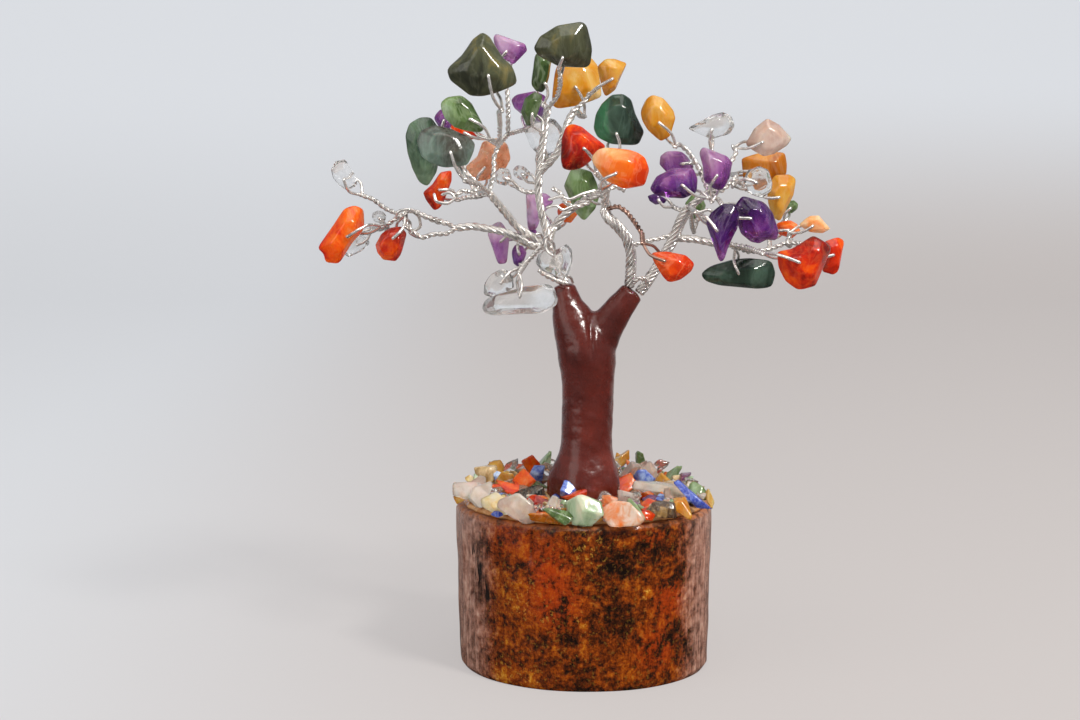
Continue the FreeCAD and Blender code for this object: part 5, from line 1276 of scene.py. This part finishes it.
def glue_layer():
    """Glue: a low disc whose top falls off in a rounded rim, with shallow waves."""
    azimuth = around(glue_columns)
    rim = glue_diameter / 2.0 * ring_shares(log_outline_shares, (math.pi - azimuth) / math.tau) - 0.1
    edge = np.append(circle(azimuth), np.zeros((glue_columns, 1)), axis=1) * glue_diameter / 2.0
    rim -= glue_lobe_depth * ripple(edge, 3.2, 13) + glue_notch_depth * ripple(edge, 1.0, 14)
    shares, heights = np.array(glue_profile).T[..., None]
    flat = circle(azimuth, shares * rim)
    level = np.append(flat, 0.0 * flat[..., :1], axis=-1)
    waves = np.abs(glue_wave * (ripple(level, 3.0, 11) - 0.5)) * (heights > glue_wave_start)
    rings = np.append(flat, (log_height + heights - waves)[..., None], axis=-1)
    piece("glue_layer", [(rings, False)], glue_material(), "glue_bed")


def curve_through(values, places):
    """Smooth curve through evenly spaced values: the cubic through each pair, with the slopes that
    their neighbours give."""
    first = np.clip(np.floor(places).astype(int), 0, len(values) - 2)
    blend = (places - first).reshape((-1,) + (1,) * (values.ndim - 1))
    before, low = values[np.maximum(first - 1, 0)], values[first]
    high, after = values[first + 1], values[np.minimum(first + 2, len(values) - 1)]
    return (low + (high - before) * (0.5 * blend)
            + (before - low * 2.5 + high * 2.0 - after * 0.5) * blend ** 2
            + ((low - high) * 1.5 + (after - before) * 0.5) * blend ** 3)


def clay_limb(sections, rows=46, columns=40):
    """Rings of a clay limb square to its smooth centre line, flared at the foot, lobed at the root and
    domed at its top."""
    places = np.linspace(0.0, len(sections) - 1.0, rows)
    path = curve_through(np.array([spot(section[:2], 0.0) for section in sections]), places)
    radii = curve_through(np.array([section[2] for section in sections]), places) * column_diameter / 2.0
    flare = (path[:, 2] - log_height - foot_flare_height) / foot_flare_reach
    radii *= 1.0 + foot_flare_share * np.exp(-flare ** 2)
    lobes = np.clip(curve_through(np.array([section[3] for section in sections], float), places), 0.0, 1.0)
    along = tangents(path)
    beside = unit(np.cross(along, [0.0, 1.0, 0.0]))
    turns = -around(columns)
    radii = radii[:, None] * (1.0 - lobes[:, None] * (1.0 - ring_shares(root_lobe_shares, turns / math.tau)))
    dome = np.clip((len(sections) - 1.0 - places) / 0.18 + 0.25, 0.0, 1.0) ** 0.5
    return rings_round(path, radii * dome[:, None], beside, np.cross(beside, along), turns), False


def clay_trunk():
    """Clay trunk: the two limbs run together into one skin, smoothed where they meet, then pressed
    into shallow thumb marks and a crease below the fork, and flat where it stands on the log."""
    made = piece("clay_trunk", [clay_limb(sections) for sections in trunk_limbs], clay_material(), "trunk",
                 "trunk_core")
    remesh = made.modifiers.new("one_skin", "REMESH")
    remesh.mode = "VOXEL"
    remesh.voxel_size = clay_grain * MM
    remesh.use_smooth_shade = True
    smooth = made.modifiers.new("smoothed", "SMOOTH")
    smooth.factor = 0.5
    smooth.iterations = clay_smoothings
    bpy.context.view_layer.update()
    mesh = bpy.data.meshes.new_from_object(made.evaluated_get(bpy.context.evaluated_depsgraph_get()))
    made.modifiers.clear()
    made.data = mesh
    points, normals = np.empty((2, len(mesh.vertices) * 3), np.float32)
    mesh.vertices.foreach_get("co", points)
    mesh.vertices.foreach_get("normal", normals)
    points, normals = points.reshape(-1, 3).astype(float) / MM, normals.reshape(-1, 3).astype(float)
    across, _, rise = (points - spot(fork_pixel, 0.0)).T
    crease = np.exp(-(across / crease_half) ** 2) * np.exp(-((rise + crease_drop) / crease_rise) ** 4)
    marks = thumb_depth * ripple(points, thumb_length, 21) + pore_depth * ripple(points, pore_length, 22)
    points -= normals * (marks + crease_depth * (crease * (normals[:, 1] < 0.1)))[:, None]
    points[:, 2] = np.maximum(points[:, 2], log_height)
    mesh.vertices.foreach_set("co", (points * MM).astype(np.float32).ravel())
    mesh.update()


def wire_branches(sizes):
    """Every stretch of wire as a rope of its own number of strands, thicker ones over a core, a smooth
    loop through each chip, and the loose turns and ends."""
    wire = sizes.wire / MM
    pitches = {size: getattr(sizes, size + "_pitch") / MM for size in ropes}
    metals = {"silver_wire": wire_material("tinned_craft_wire", "#f8f4f0", "#b4aeaa", "#e0ccc2"),
              "copper_wire": wire_material("copper_toned_craft_wire", "#b08c7e", "#6a5048", "#d0b8ac")}
    for node, runs in wire_runs.items():
        grids = []
        for order, (name, *bends) in enumerate(runs):
            size = name if name in ropes else "twig"
            route = [spot(bend[:2], bend[2]) for bend in bends]
            if name in crown_chips:
                end = twist_end(crown_chips[name])
                route.append(end + unit(end - route[-1]) * wire)
                bow = loop_bow * (1.0 if order % 2 else -1.0) * (0.7 + 0.3 * math.sin(5.0 * order))
                grids.append(chip_loop(crown_chips[name], bow, wire))
            path = bent(route, path_step, path_bend)
            grids += rope(path, size, pitches[size], order * 1.3)
            if size != "twig":
                grids.append(rod(path, ropes[size][1] - core_share * ropes[size][2]))
        for order, (kept_with, *bends) in enumerate(loose_wires):
            if kept_with == node:
                path = bent([spot(bend[:2], bend[2]) for bend in bends], loose_step, loose_bend)
                grids += rope(path, "twig", pitches["twig"], order * 1.3) if order % 2 else [rod(path, wire)]
        piece(node + "_wire", grids, metals[node_slots[node]], node)


def crown_stones(crispness):
    """The crown's chips, one object for each of their nodes, turned and moved to their places."""
    groups = {}
    for seed, chip in enumerate(crown_chips.values()):
        shape = tumbled(chip, 100 + seed, crispness) @ chip_axes(chip)
        shape = spot(chip.centre, chip.back) + shape
        groups.setdefault(chip.node, []).append((shape, shades(shape, *chip.lightness)))
    chip_pieces(groups, "_stone", "tumbled_", 1.0, 1.0)


def bed_axes(inward, ring, index):
    """Directions of a bed chip that leans on its neighbour."""
    twist = math.radians(bed_twist_degrees * (index % 3 - 1))
    tip = math.radians(bed_tip_degrees[ring] + bed_tip_change_degrees * (index % len(bed_size_shares)))
    side = np.cross(inward, [0.0, 0.0, 1.0]) * (1 if ring % 2 else -1)
    level = side * math.cos(twist) + inward * math.sin(twist)
    along = level * math.cos(tip) + np.array([0.0, 0.0, math.sin(tip)])
    return axes_of(along, inward * math.cos(twist) - side * math.sin(twist))


def bed_spot(pixel, rest):
    """Point of a sight line over the bed, inside the rim and clear of the trunk's foot, where a chip rests
    on the glue with its centre at its rest height: or else the lowest above it, or else the lowest of
    all, moved in to the rim."""
    heights = np.linspace(glue_top + heap_heights[0], glue_top + heap_heights[1], 60)
    points = np.array([level_spot(pixel, height) for height in heights])
    distance = np.hypot(points[:, 0], points[:, 1])
    inside = (distance < heap_reach) & (distance > heap_foot_reach)
    within = inside & (heights < glue_top + rest)
    if within.any():
        return points[int(np.argmax(within))]
    if inside.any():
        return points[::-1][int(np.argmax(inside[::-1]))]
    return points[-1] * [heap_reach / distance[-1], heap_reach / distance[-1], 1.0]


def splinter(seed, halves, crispness, rows, columns):
    """A broken chip as rings round its thickness: in each direction, the distance at which the nearest
    of its planes is met. Its planes are two tilted flats and a ring of slanted sides at uneven turns,
    and its outline is stretched to its halves."""
    draw = np.random.default_rng(seed)
    sides = int(draw.integers(4, 7))
    turns = math.tau * ((np.arange(sides) + draw.uniform(-0.3, 0.3, sides)) / sides + draw.uniform(0.0, 1.0))
    slants = np.append(circle(turns), draw.uniform(-0.7, 0.7, sides)[:, None], axis=1)
    flats = np.array([[0.0, 0.0, 1.0], [0.0, 0.0, -1.0], [0.0, 0.0, 1.0]])
    flats[:, :2] = draw.uniform(-0.35, 0.35, (3, 2))
    planes = np.concatenate([slants / draw.uniform(0.6, 1.0, sides)[:, None], flats * [[1.0], [1.0], [1.15]]])
    tilt, turn = ball_turns(rows, columns)
    ball = np.append(circle(turn, np.sin(tilt)), -np.cos(tilt)[..., None], axis=-1)
    met = np.maximum(ball @ planes.T, 1e-6)
    worn = 1.0 - 0.07 * ripple(ball, 1.1, seed) - 0.02 * ripple(ball, 0.45, seed + 1)
    shape = ball * (worn * (met ** crispness).sum(axis=-1) ** (-1.0 / crispness))[..., None]
    return shape * (halves / np.append(np.abs(shape[..., :2]).max(axis=(0, 1)), 1.0))


def heap_chip(seed, size, angle, lean, crispness):
    """A chip of the heap seen from the front: its length turned in the picture, leaning back."""
    lean, cosine, sine = math.radians(lean), math.cos(math.radians(angle)), math.sin(math.radians(angle))
    right, rise = np.array([1.0, 0.0, 0.0]), np.array([0.0, math.sin(lean), math.cos(lean)])
    # Lengths that foreshorten to the sizes in the picture
    longer = 1.0 / math.cos(lean - heap_view_angle) - 1.0
    halves = np.array([size[0] * (1.0 + longer * abs(sine)), size[1] * (1.0 + longer * abs(cosine)),
                       min(size) * heap_thick_share])
    halves *= pixel_size(picture_centre_pixel, 0.0) / 2.0 * heap_fullness
    turned = axes_of(right * cosine + rise * sine, rise * cosine - right * sine)
    return splinter(seed, halves, crispness, 28, 40) @ turned


def chip_bed(crispness, crumbs):
    """The bed: chips at their places in the picture in front, the solids' rings of chips behind, and
    crumbs between them, all resting on the glue."""
    groups = {}
    for order, (stone, centre, size, angle, lean, lightness) in enumerate(heap_chips):
        shape = heap_chip(900 + order, size, angle, lean, crispness)
        shape = shape + bed_spot(centre, max(-shape[..., 2].min(), 0.5))
        groups.setdefault("bed_" + stone, []).append((shape, lightness))
    for ring, kinds in enumerate(bed_stones):
        radius = glue_diameter / 2.0 - bed_rim_margin - bed_chip_halves[1] - ring * bed_ring_step
        for step, kind in enumerate(kinds):
            angle = math.tau * step / len(kinds) - math.pi / 2.0
            outward = np.array([math.cos(angle), math.sin(angle), 0.0])
            halves = bed_chip_halves * bed_size_shares[step % len(bed_size_shares)] * bed_fullness
            shape = splinter(300 + 40 * ring + step, halves, crispness, 24, 36)
            shape = outward * radius + shape @ bed_axes(-outward, ring, step)
            # Flat chips under the heap in front, full ones behind
            height = 1.0 if outward[1] > heap_behind_share else heap_flat_share
            shape[..., 2] = glue_top - bed_sink + (shape[..., 2] - shape[..., 2].min()) * height
            groups.setdefault("bed_" + kind, []).append((shape, bed_shade))
    draw = np.random.default_rng(41)
    for crumb in range(crumbs):
        distance = math.sqrt(draw.uniform(*crumb_reach_squares)) * glue_diameter / 2.0
        angle = draw.uniform(0.0, math.tau)
        size = draw.uniform(*crumb_halves, 3) * crumb_shares
        along, across = unit(draw.normal(size=(2, 3)))
        turned = axes_of(along, unit(across - along * (along @ across)))
        place = np.array([distance * math.cos(angle), distance * math.sin(angle),
                          glue_top + draw.uniform(*crumb_heights)])
        shape = place + splinter(600 + crumb, size, crispness, 12, 16) @ turned
        groups[crumb_kinds[crumb % len(crumb_kinds)]].append((shape, draw.uniform(*crumb_lightness)))
    for parts in groups.values():
        parts[:] = [(shape, np.full(shape[..., 0].size + 2, share)) for shape, share in parts]
    chip_pieces(groups, "_chips", "splintered_", 1.5, 1.25)


def paper_backdrop(wall, left, right):
    """Floor that curves up into a backdrop: a profile of a flat, a quarter circle and a wall."""
    turn = np.linspace(0.0, math.pi / 2.0, 25)
    depth = np.concatenate([[paper_near], paper_far + paper_bend * np.sin(turn), [paper_far + paper_bend]])
    height = np.concatenate([[0.0], paper_bend - paper_bend * np.cos(turn), [paper_high]])
    across = np.linspace(-paper_half, paper_half, paper_columns)
    points = np.stack(np.broadcast_arrays(across, depth[:, None], height[:, None]), axis=-1).reshape(-1, 3)
    corner = (np.arange(len(depth) - 1)[:, None] * paper_columns + np.arange(paper_columns - 1)).ravel()
    above = corner + paper_columns
    faces = np.stack([corner, corner + 1, above + 1, above], axis=-1).tolist()
    made = smooth_mesh("paper_backdrop", points, faces, backdrop_material(wall, left, right))


def lamps(colour):
    """Lamps above, to the right and to the left, and a pale even world that is darker in reflections,
    as the room behind the camera is."""
    for name, (place, size, power) in lamp_places.items():
        lamp = bpy.data.lights.new(name, "AREA")
        lamp.size = size * MM
        lamp.energy = power
        lamp.color = colour
        made = linked(name, lamp)
        made.location = np.array(place) * MM
        aim = lamp_aim - np.array(place)
        made.rotation_euler = (math.atan2(math.hypot(aim[0], aim[1]), -aim[2]), 0.0,
                               math.atan2(aim[1], aim[0]) - math.pi / 2.0)
    world = bpy.data.worlds.new("pale_room")
    world.use_nodes = True
    tree = world.node_tree
    tree.nodes.clear()
    strength = add(tree, "MapRange", {0: mirrored(tree), 1: 0.0, 2: 1.0, 3: 0.5, 4: 0.26},
                   interpolation_type="SMOOTHSTEP")
    glow = add(tree, "Background", {"Color": "#f4f4f6", "Strength": strength})
    add(tree, "OutputWorld", {"Surface": glow})
    bpy.context.scene.world = world
    bpy.context.scene.view_settings.view_transform = "Standard"


def camera():
    """Camera at the eye, tilted down as the sight lines are."""
    lens = bpy.data.cameras.new("camera")
    lens.sensor_width = 36.0
    lens.lens = lens.sensor_width / 2.0 / math.tan(half_view_angle)
    lens.clip_start = 0.01
    lens.clip_end = 10.0
    made = linked("camera", lens)
    made.location = eye * MM
    made.rotation_euler = (math.pi / 2.0 - view_tilt, 0.0, 0.0)
    bpy.context.scene.camera = made


def main():
    """Builds the scene."""
    register()
    for operator in operators:
        group, action = operator.bl_idname.split(".")
        getattr(getattr(bpy.ops, group), action)()


if __name__ == "__main__":
    main()
